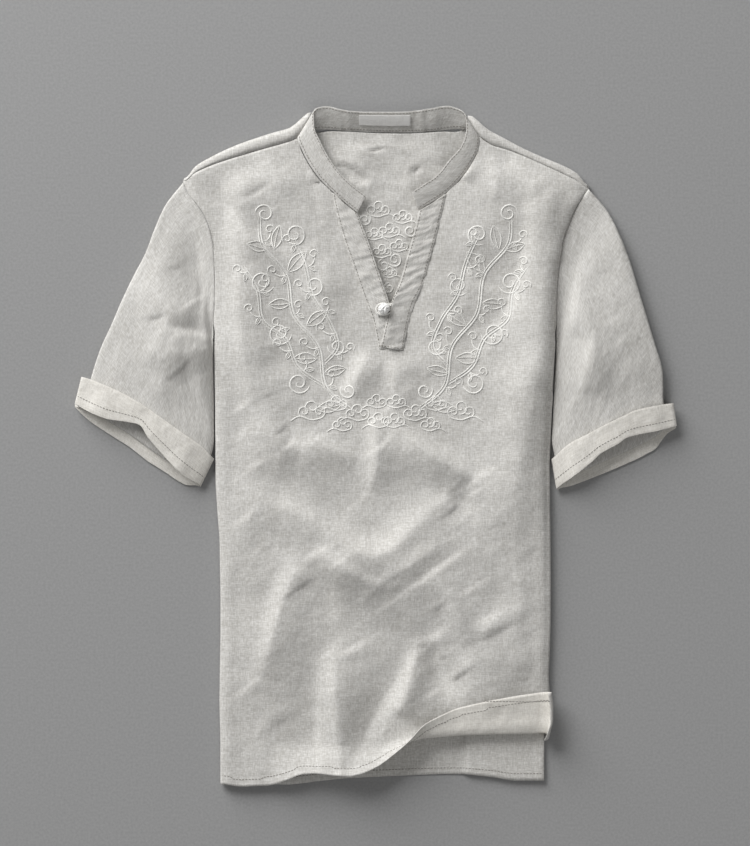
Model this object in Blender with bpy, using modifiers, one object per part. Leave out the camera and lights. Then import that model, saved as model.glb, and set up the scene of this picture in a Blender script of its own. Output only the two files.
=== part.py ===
"""Band-collar linen shirt with short turned-up sleeves, laid flat on its back.

Metres, +Z up, the front of the shirt facing up, the neck toward +Y and the hem toward -Y.
The tables are in millimetres, in a plan frame whose origin is the middle of the shirt.
Each panel is a grid of cloth warped to its place and thickened by Solidify.
"""

import math

import bmesh
import bpy
import numpy as np
from mathutils import Vector

MM = 0.001

# Driving sizes, in millimetres.
CLOTH = 1.2
BAND = 1.8
CUFF_WALL = 2.0
PLACKET = 1.0
LABEL_WALL = 0.6
SEAM_GAP = 0.5
LAYER_GAP = 0.5
FRONT_Z = 8.2
BACK_Z = 0.6
TUCK = 75.0
TUCK_BACK_Z = 4.1
TUCK_UNDER_Z = 2.3
TUCK_RAMP = 22.0
SIDE_ROLL = 3.8
BACK_INSET = 6.0
KNOT_RADIUS = 4.8
CORD_RADIUS = 1.1
# How far the sleeve's end stays inside the cuff at the outer end and at the underarm.
CUFF_STAND_OFF = (12.0, 4.0)
# Gap of the armhole seam along X at each row of the armhole, wider where the seam slopes or rolls.
ARMHOLE_GAPS = (0.9, 0.9, 0.8, 0.6, 0.5, 0.5, 0.5, 0.5, 0.5, 0.8, 1.4)

# Where the shirt's box has its middle in the tables' frame.
BOX_MIDDLE = (-0.5, -0.7)

# Cells across the front: placket, chest, side roll and the part folded under.
PLACKET_CELLS = 2
CHEST_CELLS = 8
ROLL_CELLS = 4
LOWER_ROWS = 20
TURN_ROWS = 4
REST_ROWS = 2
SHOULDER_ROWS = 4
HAIRPIN_CELLS = 3
NECK_COLUMNS = 9
# Rows of the back below the armpit row, measured down from it.
BACK_ROWS = (18.0, 36.0, 54.0, 80.0, 140.0, 200.0, 260.0, 320.0, 370.0, 406.0)
ARMPIT_ROW = 10
NECK_ROWS = 4
# Turn of the side edge in degrees at the rows just above the armpit; below them it goes all the way under.
SIDE_TURNS = {6: 15.0, 7: 30.0, 8: 45.0, 9: 70.0}
LEVEL_ROWS = 6
# Rows of the front below its opening are this far apart down to the armpit's level.
OPENING_STEP = 16.0
# How much of the shoulder's drop the first rows of the front keep.
SHOULDER_FADE = (1.0, 0.55, 0.2, 0.05)
# The part folded under is this wide at the armpit and reaches TUCK over the next stretch.
TUCK_START = 14.0
TUCK_GROWTH = 60.0
# Folds fade out this near to the sides, the opening and the shoulder.
SIDE_CALM = 34.0
OPENING_CALM = (24.0, 30.0)
TOP_CALM = 40.0
CHEST_RISE = 1.2
OPENING_MIDDLE = 11.0
SLEEVE_STEPS = 9
SLEEVE_END_SHARES = (0.4, 0.75)
UNDERARM_GAP = 1.4
# The hem of the part folded under stays this far short of the hem above it.
UNDER_HEM_RISE = 6.0
CUFF_POINTS = 14

LINEN = (0.62, 0.60, 0.56)
LINEN_INSIDE = (0.66, 0.63, 0.57)
CORD = (0.72, 0.71, 0.68)
TAPE = (0.75, 0.74, 0.71)

# Neck seam of the front from the shoulder to the opening, with the band's top edge.
# seam_x, seam_y, top_x, top_y, top_z
NECK_LEFT = (
    (-83.0, 322.9, -65.1, 342.8, 13.0),
    (-77.7, 308.7, -64.6, 333.9, 13.5),
    (-68.2, 291.4, -58.3, 319.2, 13.5),
    (-57.8, 277.7, -48.3, 300.3, 13.5),
    (-46.2, 266.2, -36.8, 285.1, 13.0),
    (-33.1, 254.6, -23.6, 272.5, 13.0),
    (-19.9, 244.1, -10.5, 262.5, 12.6),
)
NECK_RIGHT = (
    (108.2, 325.0, 94.5, 341.2, 12.2),
    (107.6, 311.3, 94.5, 328.7, 12.5),
    (100.8, 296.6, 89.2, 314.5, 12.5),
    (89.2, 279.8, 76.7, 299.8, 12.5),
    (73.5, 264.6, 62.0, 282.4, 12.2),
    (59.3, 255.2, 49.9, 274.6, 12.0),
    (45.1, 246.8, 37.8, 266.2, 12.0),
)
# Neck seam of the back from left to right, with the band's top edge.
# seam_x, seam_y, seam_z, top_x, top_y, top_z
NECK_BACK = (
    (-79.3, 328.1, 5.6, -64.0, 352.8, 12.8),
    (-66.2, 331.3, 2.4, -54.6, 355.9, 12.4),
    (-35.7, 330.8, 1.7, -34.6, 352.3, 13.0),
    (-17.9, 329.7, 1.7, -17.9, 350.5, 12.0),
    (0.0, 328.9, 1.7, 0.0, 350.3, 12.0),
    (17.9, 328.3, 1.7, 17.9, 350.3, 12.0),
    (36.2, 328.4, 1.7, 36.2, 350.7, 12.0),
    (56.7, 329.4, 1.7, 54.6, 353.3, 13.0),
    (90.3, 332.3, 2.4, 79.8, 355.7, 12.4),
    (104.0, 330.2, 5.6, 92.9, 348.1, 12.8),
)
# Armhole seam of the front, one row for each of the first rows of the grid: x, y
ARMHOLE_LEFT = (
    (-202.7, 277.7),
    (-197.4, 265.7),
    (-186.9, 252.5),
    (-178.5, 238.4),
    (-173.2, 222.6),
    (-170.6, 205.8),
    (-169.7, 186.9),
    (-169.6, 167.0),
    (-169.9, 146.0),
    (-170.5, 125.0),
    (-170.3, 106.1),
)
ARMHOLE_RIGHT = (
    (223.7, 270.9),
    (214.7, 258.3),
    (207.4, 245.7),
    (201.1, 230.0),
    (196.3, 216.3),
    (193.2, 197.4),
    (191.4, 178.5),
    (190.3, 160.7),
    (189.8, 142.8),
    (189.5, 125.0),
    (189.0, 106.1),
)
# Front opening below the band: edge_x, edge_y, placket_seam_x, placket_seam_y
OPENING_LEFT = (
    (-13.1, 227.9, -41.0, 241.5),
    (-6.3, 210.0, -33.6, 216.3),
    (0.5, 190.1, -25.2, 192.2),
    (7.4, 170.1, -16.8, 168.0),
    (13.7, 150.2, -9.5, 148.1),
    (14.4, 134.4, -3.2, 132.3),
    (14.7, 118.7, 0.5, 116.6),
    (15.1, 102.4, 3.7, 101.9),
)
OPENING_RIGHT = (
    (41.0, 228.9, 67.7, 239.4),
    (35.7, 210.0, 62.0, 216.3),
    (30.5, 191.1, 55.7, 193.2),
    (24.2, 170.1, 48.8, 169.1),
    (17.5, 150.2, 40.4, 149.1),
    (16.8, 134.4, 35.2, 133.3),
    (16.8, 118.7, 31.5, 116.6),
    (17.2, 102.4, 28.4, 100.8),
)
# Inner edge of the upper placket where it crosses the lower one: x, y
CROSSING = (
    (16.3, 150.2),
    (12.1, 134.4),
    (7.9, 118.7),
    (4.2, 104.5),
)
# Side edge of the body below the armhole: y, left_x, right_x
SIDES = (
    (106.1, -170.3, 189.0),
    (65.1, -169.8, 186.5),
    (48.3, -169.5, 185.8),
    (-18.9, -169.1, 182.7),
    (-45.1, -168.8, 183.0),
    (-98.7, -164.8, 183.8),
    (-152.2, -163.8, 184.1),
    (-193.2, -163.8, 183.8),
    (-246.8, -164.6, 181.7),
    (-273.0, -164.8, 184.3),
    (-312.9, -163.8, 184.3),
    (-358.1, -159.6, 180.6),
)
# Shoulder outline of the back from the neck to the sleeve: x, y
SHOULDER_LEFT = (
    (-76.5, 345.0),
    (-84.0, 338.6),
    (-88.2, 334.9),
    (-116.6, 326.6),
    (-150.2, 315.0),
    (-177.5, 301.4),
    (-191.1, 292.9),
    (-201.6, 281.4),
)
SHOULDER_RIGHT = (
    (104.0, 340.6),
    (110.2, 335.6),
    (116.6, 332.9),
    (157.5, 310.8),
    (197.4, 294.0),
    (214.2, 284.6),
    (223.1, 274.6),
)
# Forward shoulder seam from the neck to the sleeve: x, y
SEAM_LEFT = (
    (-83.0, 322.9),
    (-95.0, 318.2),
    (-125.0, 309.8),
    (-153.3, 301.4),
    (-173.2, 294.5),
    (-186.9, 288.8),
    (-202.7, 277.7),
)
SEAM_RIGHT = (
    (108.2, 325.0),
    (122.9, 315.0),
    (140.7, 310.3),
    (169.1, 298.2),
    (197.4, 285.1),
    (212.1, 277.7),
    (223.7, 270.9),
)
# How the front's hem is turned up: x, bend_y, turn_length, rest_length, angle_deg
HEM_TURN = (
    (-169.1, -308.7, 14.7, 29.4, 0.0),
    (-150.2, -308.7, 14.7, 34.6, 0.0),
    (-107.1, -308.7, 14.7, 32.6, 0.0),
    (-91.4, -308.7, 12.6, 28.4, 12.0),
    (-76.7, -308.7, 11.0, 24.7, 20.0),
    (-57.8, -308.7, 13.7, 22.1, 25.0),
    (-34.6, -308.7, 9.5, 30.5, 16.0),
    (-11.6, -308.7, 12.6, 25.2, 28.0),
    (4.2, -307.7, 16.0, 15.0, 40.0),
    (25.2, -302.4, 17.0, 6.0, 70.0),
    (46.2, -301.7, 12.0, 12.6, 148.0),
    (77.7, -300.1, 11.7, 23.8, 176.0),
    (109.2, -299.5, 10.2, 32.1, 172.0),
    (151.2, -298.5, 10.4, 38.2, 176.0),
    (184.8, -298.0, 10.6, 41.2, 178.0),
)
# Hem of the back: x, y
BACK_HEM = (
    (-169.1, -348.6),
    (-147.0, -354.9),
    (-90.3, -355.9),
    (-31.5, -349.7),
    (25.2, -347.0),
    (67.2, -345.4),
    (96.6, -345.4),
    (122.9, -348.1),
    (141.8, -351.8),
    (180.6, -351.8),
)
# Largest folds of the front: x1, y1, x2, y2, height, half_width
FOLDS = (
    (-111.3, -35.7, -34.6, -96.6, 7.0, 15.0),
    (-34.6, -96.6, 15.8, -112.4, 7.0, 15.0),
    (15.8, -112.4, 69.3, -58.8, 7.0, 14.0),
    (-98.7, -111.3, -24.2, -147.0, -3.0, 13.0),
    (0.0, 32.6, 2.1, -18.9, 4.5, 13.0),
    (36.8, 22.1, 96.6, -31.5, 5.5, 13.0),
    (117.6, 22.1, 136.5, -31.5, 5.5, 13.0),
    (136.5, -31.5, 96.6, -101.9, 6.0, 13.0),
    (90.3, -46.2, 77.7, -77.7, -3.0, 12.0),
    (-105.0, 13.7, -80.9, -5.2, 3.5, 12.0),
    (-56.7, 13.7, -18.9, -7.4, 3.5, 12.0),
    (-72.5, -126.0, -110.2, -211.1, 6.0, 14.0),
    (-48.3, -151.2, -60.9, -203.7, -2.5, 14.0),
    (58.8, -128.1, 15.8, -171.2, -3.0, 12.0),
    (72.5, -138.6, 98.7, -200.6, 4.5, 13.0),
    (54.6, -203.7, 83.0, -254.1, -3.0, 13.0),
    (39.9, -209.0, 26.2, -273.0, 7.0, 13.0),
    (29.4, -235.2, -22.1, -334.9, -3.0, 15.0),
    (-45.1, -240.5, -45.1, -340.2, 5.5, 19.0),
    (121.8, -161.7, 130.2, -256.2, 3.0, 17.0),
    (-161.7, 268.8, -142.8, 195.3, -1.5, 12.0),
    (-130.2, 258.3, -119.7, 153.3, 2.0, 14.0),
    (140.7, 295.1, 119.7, 216.3, 2.5, 14.0),
    (167.0, 258.3, 161.7, 121.8, 2.0, 14.0),
)
# Outer edge of each sleeve from the shoulder to the cuff: x, y
SLEEVE_EDGE_LEFT = (
    (-204.8, 275.6),
    (-211.5, 271.4),
    (-230.0, 239.4),
    (-243.6, 204.8),
    (-264.6, 165.9),
    (-283.5, 122.9),
    (-301.4, 78.8),
)
SLEEVE_EDGE_RIGHT = (
    (225.8, 269.9),
    (238.4, 256.7),
    (251.0, 236.2),
    (264.6, 210.0),
    (276.7, 171.2),
    (288.8, 133.3),
    (301.4, 91.4),
    (307.7, 53.6),
)
# Turned-up cuff: its top edge on the sleeve, and the front and back of its rim: x, y
CUFF_TOP_LEFT = (
    (-312.9, 73.5),
    (-300.3, 70.4),
    (-271.9, 58.8),
    (-247.8, 45.7),
    (-223.7, 28.9),
    (-199.5, 11.6),
    (-186.9, 3.2),
    (-176.4, -5.2),
    (-171.2, -13.1),
)
CUFF_FRONT_RIM_LEFT = (
    (-319.2, 46.2),
    (-304.5, 37.3),
    (-283.5, 28.4),
    (-259.4, 25.2),
    (-247.8, 23.1),
    (-240.5, 11.6),
    (-232.1, 1.1),
    (-217.4, -15.8),
    (-201.6, -31.5),
    (-184.8, -41.0),
)
CUFF_BACK_RIM_LEFT = (
    (-319.2, 45.1),
    (-307.7, 30.5),
    (-284.6, 14.7),
    (-261.4, 0.5),
    (-240.5, -15.8),
    (-220.5, -28.4),
    (-206.9, -37.8),
    (-195.3, -43.1),
    (-184.8, -41.5),
)
CUFF_TOP_RIGHT = (
    (316.1, 45.1),
    (302.4, 44.1),
    (271.9, 37.8),
    (240.5, 22.6),
    (199.5, 1.1),
    (185.3, -13.7),
)
CUFF_FRONT_RIM_RIGHT = (
    (319.2, 22.1),
    (299.2, 16.8),
    (277.2, 12.6),
    (263.6, 9.5),
    (254.1, 2.6),
    (235.2, -7.4),
    (224.7, -17.9),
    (205.8, -32.6),
    (190.1, -44.1),
)
CUFF_BACK_RIM_RIGHT = (
    (319.2, 21.0),
    (303.4, 12.6),
    (299.2, 0.0),
    (279.3, -11.6),
    (251.0, -24.2),
    (222.6, -35.7),
    (202.7, -43.1),
    (190.1, -45.1),
)
# Cord knot, the end of its tail, and the line of its loop: x, y
KNOT_PLACE = (8.4, 143.8)
KNOT_TAIL = (-2.1, 135.5)
LOOP_LINE = (
    (22.0, 147.2),
    (18.0, 146.0),
    (14.7, 143.3),
    (18.0, 140.6),
    (22.0, 139.4),
)
LOOP_RADIUS = 1.0
# First and last of the band's back sections that carry the label.
LABEL_SECTIONS = (3, 6)
# Height of the sleeve's upper layer along the sleeve: share_of_length, outer_edge, middle, underarm
SLEEVE_HEIGHTS = (
    (0.0, 0.0, 0.0, 0.0),
    (0.2, 7.5, 13.5, 6.0),
    (0.45, 9.0, 17.5, 5.0),
    (0.7, 10.0, 18.5, 5.0),
    (1.0, 11.0, 16.0, 8.0),
)
# Largest folds of the sleeves: x1, y1, x2, y2, height, half_width
SLEEVE_FOLDS = (
    (-226.8, 132.3, -237.3, 79.8, 4.0, 14.0),
    (-237.3, 195.3, -252.0, 100.8, -3.0, 13.0),
    (-189.0, 216.3, -184.8, 121.8, -4.0, 12.0),
    (-205.8, 205.8, -199.5, 132.3, 2.5, 12.0),
    (212.1, 242.6, 216.3, 193.2, -3.0, 10.0),
    (226.8, 174.3, 222.6, 121.8, 3.5, 13.0),
    (247.8, 184.8, 253.1, 100.8, -3.0, 12.0),
    (277.2, 121.8, 277.2, 64.0, 3.0, 14.0),
)
# Height of the cuff's front: share_across, top_edge_z, rim_z
CUFF_HEIGHTS = (
    (0.0, 11.0, 10.0),
    (0.15, 16.0, 15.0),
    (0.5, 19.0, 21.0),
    (0.85, 15.0, 16.0),
    (1.0, 10.0, 8.0),
)


def smooth(t):
    """0 to 1 with level ends."""
    t = np.clip(t, 0.0, 1.0)
    return t * t * (3.0 - 2.0 * t)


def along(line, count):
    """A polyline sampled at evenly spaced points."""
    line = np.array(line, float)
    lengths = np.linalg.norm(np.diff(line, axis=0), axis=1)
    run = np.concatenate([[0.0], np.cumsum(lengths)])
    stations = np.linspace(0.0, run[-1], count)
    return np.stack([np.interp(stations, run, line[:, k]) for k in range(line.shape[1])], axis=1)


def column(table, index):
    return np.array([row[index] for row in table], float)


def side_x(side, y):
    """The body's outline below the armhole; side is -1 for left and 1 for right."""
    stations = -column(SIDES, 0)
    return np.interp(-y, stations, column(SIDES, 1 if side < 0 else 2))


def tuck_width(y):
    """How far the front and back go under the body, from the armpit down."""
    top = SIDES[0][0]
    return TUCK_START + (TUCK - TUCK_START) * smooth((top - y) / TUCK_GROWTH)


def fold_height(folds, x, y):
    """Sum of the ridges and hollows at a point."""
    total = 0.0
    here = np.array([x, y])
    for x1, y1, x2, y2, height, half_width in folds:
        start = np.array([x1, y1])
        run = np.array([x2, y2]) - start
        share = np.clip(np.dot(here - start, run) / np.dot(run, run), 0.0, 1.0)
        away = np.linalg.norm(here - start - share * run)
        total += height * math.exp(-((away / half_width) ** 2))
    return total


def shoulder_roll(side, x):
    """Radius of the roll over the shoulder, from the neck to the sleeve."""
    outline, seam = (SHOULDER_LEFT, SEAM_LEFT) if side < 0 else (SHOULDER_RIGHT, SEAM_RIGHT)
    stations = [side * point[0] for point in outline]
    over = np.interp(side * x, stations, column(outline, 1))
    under = np.interp(side * x, [side * point[0] for point in seam], column(seam, 1))
    radius = np.clip(0.6 * (over - under), 2.2, (FRONT_Z - BACK_Z) / 2)
    return over, under, radius


def half_front(side):
    """Rows of (x, y, z) from the opening to the side edge, and the edge rows' roll."""
    neck = NECK_LEFT if side < 0 else NECK_RIGHT
    armhole = ARMHOLE_LEFT if side < 0 else ARMHOLE_RIGHT
    opening = OPENING_LEFT if side < 0 else OPENING_RIGHT
    rows = []
    for i in range(NECK_ROWS + 1):
        seam = np.array(neck[i][:2])
        inner = [seam, seam] if i < NECK_ROWS else [np.array(neck[6][:2]), np.array(neck[5][:2])]
        rows.append((inner[0], inner[1], seam, np.array(armhole[i])))
    for i, (edge_x, edge_y, seam_x, seam_y) in enumerate(opening):
        edge, seam = np.array([edge_x, edge_y]), np.array([seam_x, seam_y])
        k = i + NECK_ROWS + 1
        if k <= ARMPIT_ROW:
            outer = np.array(armhole[k])
        else:
            y = armhole[ARMPIT_ROW][1] - (k - ARMPIT_ROW) * OPENING_STEP
            outer = np.array([side_x(side, y), y])
        rows.append((edge, (edge + seam) / 2, seam, outer))
    return rows


def roll_of_row(i):
    """Turn of the side edge at a row, in radians: level, then all the way under."""
    if i < LEVEL_ROWS:
        return 0.0
    return math.radians(SIDE_TURNS.get(i, 180.0))


def hem_row(x):
    stations = column(HEM_TURN, 0)
    return [float(np.interp(x, stations, column(HEM_TURN, k))) for k in range(1, 5)]


def turned(x, beyond, normal):
    """Place of a point beyond the hem's bend: its y and its height over the bend."""
    bend_y, turn_length, _, degrees = hem_row(x)
    angle = math.radians(degrees)
    if angle < 0.01:
        return bend_y - beyond, normal
    radius = turn_length / angle
    turn = min(beyond / radius, angle)
    rest = max(beyond - turn_length, 0.0)
    y = bend_y - (radius - normal) * math.sin(turn) - rest * math.cos(turn)
    return y, radius - (radius - normal) * math.cos(turn) + rest * math.sin(turn)


def front_height(x, y, side_gap, opening_gap, top_gap):
    """Middle of the front's cloth over the surface."""
    calm = smooth(side_gap / SIDE_CALM) * smooth(top_gap / TOP_CALM)
    calm *= smooth((opening_gap - OPENING_CALM[0]) / OPENING_CALM[1])
    return calm * (CHEST_RISE + fold_height(FOLDS, x, y))


def edge_points(side, row, x, y, z):
    """Side roll and the part folded under, for one row: (x, y, z) and the normal offset."""
    turn = roll_of_row(row)
    outer = x
    if turn == 0.0:
        return outer, [(outer, y, z)] * (ROLL_CELLS + 2)
    reach = SIDE_ROLL * math.sin(min(turn, math.pi / 2))
    start = outer - side * (reach + CLOTH / 2 * math.sin(min(turn, math.pi / 2)))
    points = []
    for k in range(ROLL_CELLS + 1):
        a = turn * k / ROLL_CELLS
        points.append((start + side * SIDE_ROLL * math.sin(a), y, z - SIDE_ROLL * (1 - math.cos(a))))
    end = outer - side * tuck_width(y)
    points.append((end, y, BACK_Z))
    return start, points


def front_grid():
    """Points of the front panel, row by row from the shoulder to the hem, and which cells it keeps."""
    halves = {side: half_front(side) for side in (-1, 1)}
    upper = len(halves[-1])
    inner = PLACKET_CELLS + CHEST_CELLS + 1
    columns = 2 * (inner + ROLL_CELLS + 1)
    rows = upper + LOWER_ROWS + TURN_ROWS + REST_ROWS
    points = np.zeros((rows, columns, 3))
    keep = np.ones((rows - 1, columns - 1), bool)
    middle = columns // 2

    def place(side, i, k, point):
        points[i, middle - 1 - k if side < 0 else middle + k] = point

    for side in (-1, 1):
        for i, (edge, half, seam, outer) in enumerate(halves[side]):
            drop = SHOULDER_FADE[i] if i < len(SHOULDER_FADE) else 0.0
            turn = roll_of_row(i)
            top_z = FRONT_Z
            start, edge_run = edge_points(side, i, outer[0], outer[1], top_z)
            chest = [np.array([start, outer[1]])]
            chest = [seam + (chest[0] - seam) * k / CHEST_CELLS for k in range(CHEST_CELLS + 1)]
            if i < NECK_ROWS:
                line = SEAM_LEFT if side < 0 else SEAM_RIGHT
                if i == 0:
                    chest = list(along(line, CHEST_CELLS + 1))
                else:
                    bow = np.interp(
                        np.linspace(0, 1, CHEST_CELLS + 1), [0, 0.5, 1], [0, 2.0 * (1 - i / NECK_ROWS), 0]
                    )
                    chest = [p + np.array([0.0, b]) for p, b in zip(chest, bow)]
            run = [edge, half] + chest
            for k, p in enumerate(run):
                lower = FRONT_Z - (BACK_Z + 2 * shoulder_roll(side, p[0])[2])
                gap_side = abs(outer[0] - p[0])
                gap_opening = abs(p[0] - seam[0]) if i > 0 else 0.0
                gap_top = 16.0 * i
                lift = front_height(p[0], p[1], gap_side, gap_opening, gap_top)
                place(side, i, k, (p[0], p[1], FRONT_Z - lower * drop + lift))
            for k, p in enumerate(edge_run[1:]):
                lower = FRONT_Z - (BACK_Z + 2 * shoulder_roll(side, outer[0])[2])
                z = p[2] - (lower * drop if turn == 0.0 else 0.0)
                place(side, i, inner + k, (p[0], p[1], z))

    last = upper - 1
    for r in range(1, LOWER_ROWS + 1):
        i = last + r
        share = r / LOWER_ROWS
        even = smooth(share / 0.35)
        for side in (-1, 1):
            edge_y = points[last, middle - inner if side < 0 else middle + inner - 1, 1]
            bend = hem_row(side_x(side, -300.0))[0]
            y_side = edge_y + (bend - edge_y) * share
            x_side = side_x(side, y_side)
            start, edge_run = edge_points(side, ARMPIT_ROW + 1, x_side, y_side, FRONT_Z)
            other = side_x(-side, y_side) + side * (SIDE_ROLL + CLOTH / 2)
            for k in range(inner):
                top = points[last, middle - 1 - k if side < 0 else middle + k]
                cells = 2 * inner - 1
                x_even = start + (other - start) * (inner - 1 - k) / cells
                x = top[0] + (x_even - top[0]) * even
                if k == inner - 1:
                    x = start
                y = top[1] + (hem_row(x)[0] - top[1]) * share
                gap_opening = 60.0 * smooth(last_gap(y) / 60.0) + abs(x - OPENING_MIDDLE)
                lift = front_height(x, y, abs(start - x), gap_opening, 100.0)
                place(side, i, k, (x, y, FRONT_Z + lift))
            for k, p in enumerate(edge_run[1:]):
                place(side, i, inner + k, p)

    base = last + LOWER_ROWS
    for r in range(1, TURN_ROWS + REST_ROWS + 1):
        for j in range(columns):
            x, y, z = points[base, j]
            lip_x, _, lip_z = points[base, min(max(j, ROLL_CELLS + 1), columns - 2 - ROLL_CELLS)]
            _, turn_length, rest_length, degrees = hem_row(lip_x)
            beyond = turn_length * min(r / TURN_ROWS, 1.0)
            beyond += rest_length * max(r - TURN_ROWS, 0) / REST_ROWS
            new_y, up = turned(lip_x, beyond, z - lip_z)
            settle = 0.6 * smooth(beyond / 60.0) * (lip_z - FRONT_Z) * (degrees < 1.0)
            points[base + r, j] = (x, new_y, lip_z + up - settle)

    neck_left, neck_right = middle - 1 - PLACKET_CELLS, middle + PLACKET_CELLS
    keep[:NECK_ROWS, neck_left:neck_right] = False
    keep[NECK_ROWS : NECK_ROWS + 5, middle - 1] = False
    keep[:LEVEL_ROWS, : ROLL_CELLS + 1] = False
    keep[:LEVEL_ROWS, -(ROLL_CELLS + 1) :] = False
    keep[:ARMPIT_ROW, 0] = False
    keep[:ARMPIT_ROW, -1] = False
    keep[base - 2 :, -1] = False
    return points, keep, middle, inner


def last_gap(y):
    """Distance below the end of the front opening."""
    return OPENING_LEFT[-1][1] - y


def back_grid(front, middle, inner):
    """Points of the back panel, from the forward shoulder seam over the roll and down to the hem."""
    side_cells = CHEST_CELLS
    hairpin = HAIRPIN_CELLS
    neck_line = np.array([row[:2] for row in NECK_BACK[1:-1]])
    neck_edge = along(neck_line, NECK_COLUMNS)
    neck_points = NECK_COLUMNS
    half = side_cells + 1
    columns = 2 * (half + hairpin + 1) + neck_points
    lower_y = SIDES[0][0] - np.array(BACK_ROWS)
    first_main = SHOULDER_ROWS
    rows = first_main + 1 + ARMPIT_ROW + len(lower_y) + 2
    points = np.zeros((rows, columns, 3))
    keep = np.ones((rows - 1, columns - 1), bool)

    def index(side, k):
        """Column of the k-th point from the neck toward one side."""
        return hairpin + 1 + side_cells - k if side < 0 else columns - 1 - (hairpin + 1 + side_cells) + k

    def floor_z(side, x, y):
        ready = smooth((ARMHOLE_LEFT[ARMPIT_ROW - 1][1] - y) / 19.0) * 0.6
        ready += 0.4 * smooth((ARMHOLE_LEFT[ARMPIT_ROW - 1][1] + 10.0 - y) / 28.0)
        inner_x = abs(side_x(side, min(y, SIDES[0][0]))) - tuck_width(min(y, SIDES[0][0]))
        share = smooth((side * x - (inner_x - 10.0 - TUCK_RAMP)) / TUCK_RAMP)
        return BACK_Z + (TUCK_BACK_Z - BACK_Z) * share * ready

    for side in (-1, 1):
        outline = SHOULDER_LEFT if side < 0 else SHOULDER_RIGHT
        top_line = along(outline, side_cells + 1)
        armhole = ARMHOLE_LEFT if side < 0 else ARMHOLE_RIGHT
        for k in range(side_cells + 1):
            column_front = middle - 1 - PLACKET_CELLS - k if side < 0 else middle + PLACKET_CELLS + k
            seam = front[0, column_front].copy()
            top = top_line[k]
            deep = (seam[2] - BACK_Z) / 2
            seam_y = seam[1] + SEAM_GAP
            reach = min(deep, 0.85 * (top[1] - seam_y))
            points[0, index(side, k)] = (seam[0], seam_y, seam[2])
            for r in range(1, SHOULDER_ROWS + 1):
                angle = math.pi * (1 - r / SHOULDER_ROWS)
                points[r, index(side, k)] = (
                    top[0],
                    top[1] - reach * (1 - math.sin(angle)),
                    BACK_Z + deep * (1 - math.cos(angle)),
                )
        main_top = points[first_main, [index(side, k) for k in range(side_cells + 1)]]
        for i in range(1, ARMPIT_ROW + 1):
            outer = np.array(armhole[i])
            inner_y = main_top[0, 1] + (outer[1] - main_top[0, 1]) * (i / ARMPIT_ROW) ** 0.8
            shrink = BACK_INSET * np.clip((i - ARMPIT_ROW + 2) / 2, 0, 1)
            for k in range(side_cells + 1):
                share = k / side_cells
                x = main_top[0, 0] + (outer[0] - side * shrink - main_top[0, 0]) * share
                y = inner_y + (outer[1] - inner_y) * share ** (1.0 + 0.5 * (1 - i / ARMPIT_ROW))
                points[first_main + i, index(side, k)] = (x, y, floor_z(side, x, y))
        for r, y in enumerate(lower_y):
            i = first_main + ARMPIT_ROW + 1 + r
            late = 2.5 * smooth((-240.0 - y) / 40.0) * (side > 0)
            edge = side_x(side, y) - side * (BACK_INSET + late)
            for k in range(side_cells + 1):
                x = main_top[0, 0] + (edge - main_top[0, 0]) * k / side_cells
                points[i, index(side, k)] = (x, y, floor_z(side, x, y))
        for r in (1, 2):
            i = first_main + ARMPIT_ROW + len(lower_y) + r
            before = points[first_main + ARMPIT_ROW + len(lower_y)]
            for k in range(side_cells + 1):
                x, y, z = before[index(side, k)]
                hem = np.interp(x, column(BACK_HEM, 0), column(BACK_HEM, 1))
                points[i, index(side, k)] = (x, y + (hem - y) * r / 2, z)
    for n in range(neck_points):
        j = hairpin + 1 + side_cells + 1 + n
        neck = neck_edge[n]
        left, right = index(-1, 0), index(1, 0)
        for i in range(rows):
            ends = points[first_main, [left, right]]
            share = (neck[0] - ends[0, 0]) / (ends[1, 0] - ends[0, 0])
            y_side = points[i, left, 1] * (1 - share) + points[i, right, 1] * share
            if i <= first_main:
                points[i, j] = (neck[0], neck[1], BACK_Z)
            else:
                weight = smooth((i - first_main) / 4.0)
                gap = neck[1] - (ends[0, 1] * (1 - share) + ends[1, 1] * share)
                y = y_side + gap * (1 - weight)
                if i >= rows - 2:
                    hem = np.interp(neck[0], column(BACK_HEM, 0), column(BACK_HEM, 1))
                    y = lower_y[-1] + (hem - lower_y[-1]) * (i - rows + 3) / 2
                points[i, j] = (neck[0], y, BACK_Z)
    under_r = (TUCK_BACK_Z - TUCK_UNDER_Z) / 2
    for side in (-1, 1):
        for i in range(rows):
            x, y, z = points[i, index(side, side_cells)]
            for k in range(1, hairpin + 1):
                a = math.pi * k / hairpin
                j = index(side, side_cells + k)
                points[i, j] = (x + side * under_r * math.sin(a), y, z - under_r * (1 - math.cos(a)))
            j = index(side, side_cells + hairpin + 1)
            edge = side_x(side, y)
            end = min(tuck_width(y), abs(edge) - 40.0)
            short = UNDER_HEM_RISE * max(i - rows + 3, 0) / 2
            points[i, j] = (edge - side * end, y + short, z - 2 * under_r)
    keep[:first_main, hairpin + 1 + side_cells : columns - 1 - (hairpin + 1 + side_cells)] = False
    keep[: first_main + ARMPIT_ROW, : hairpin + 1] = False
    keep[: first_main + ARMPIT_ROW, -(hairpin + 1) :] = False
    return points, keep


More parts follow.
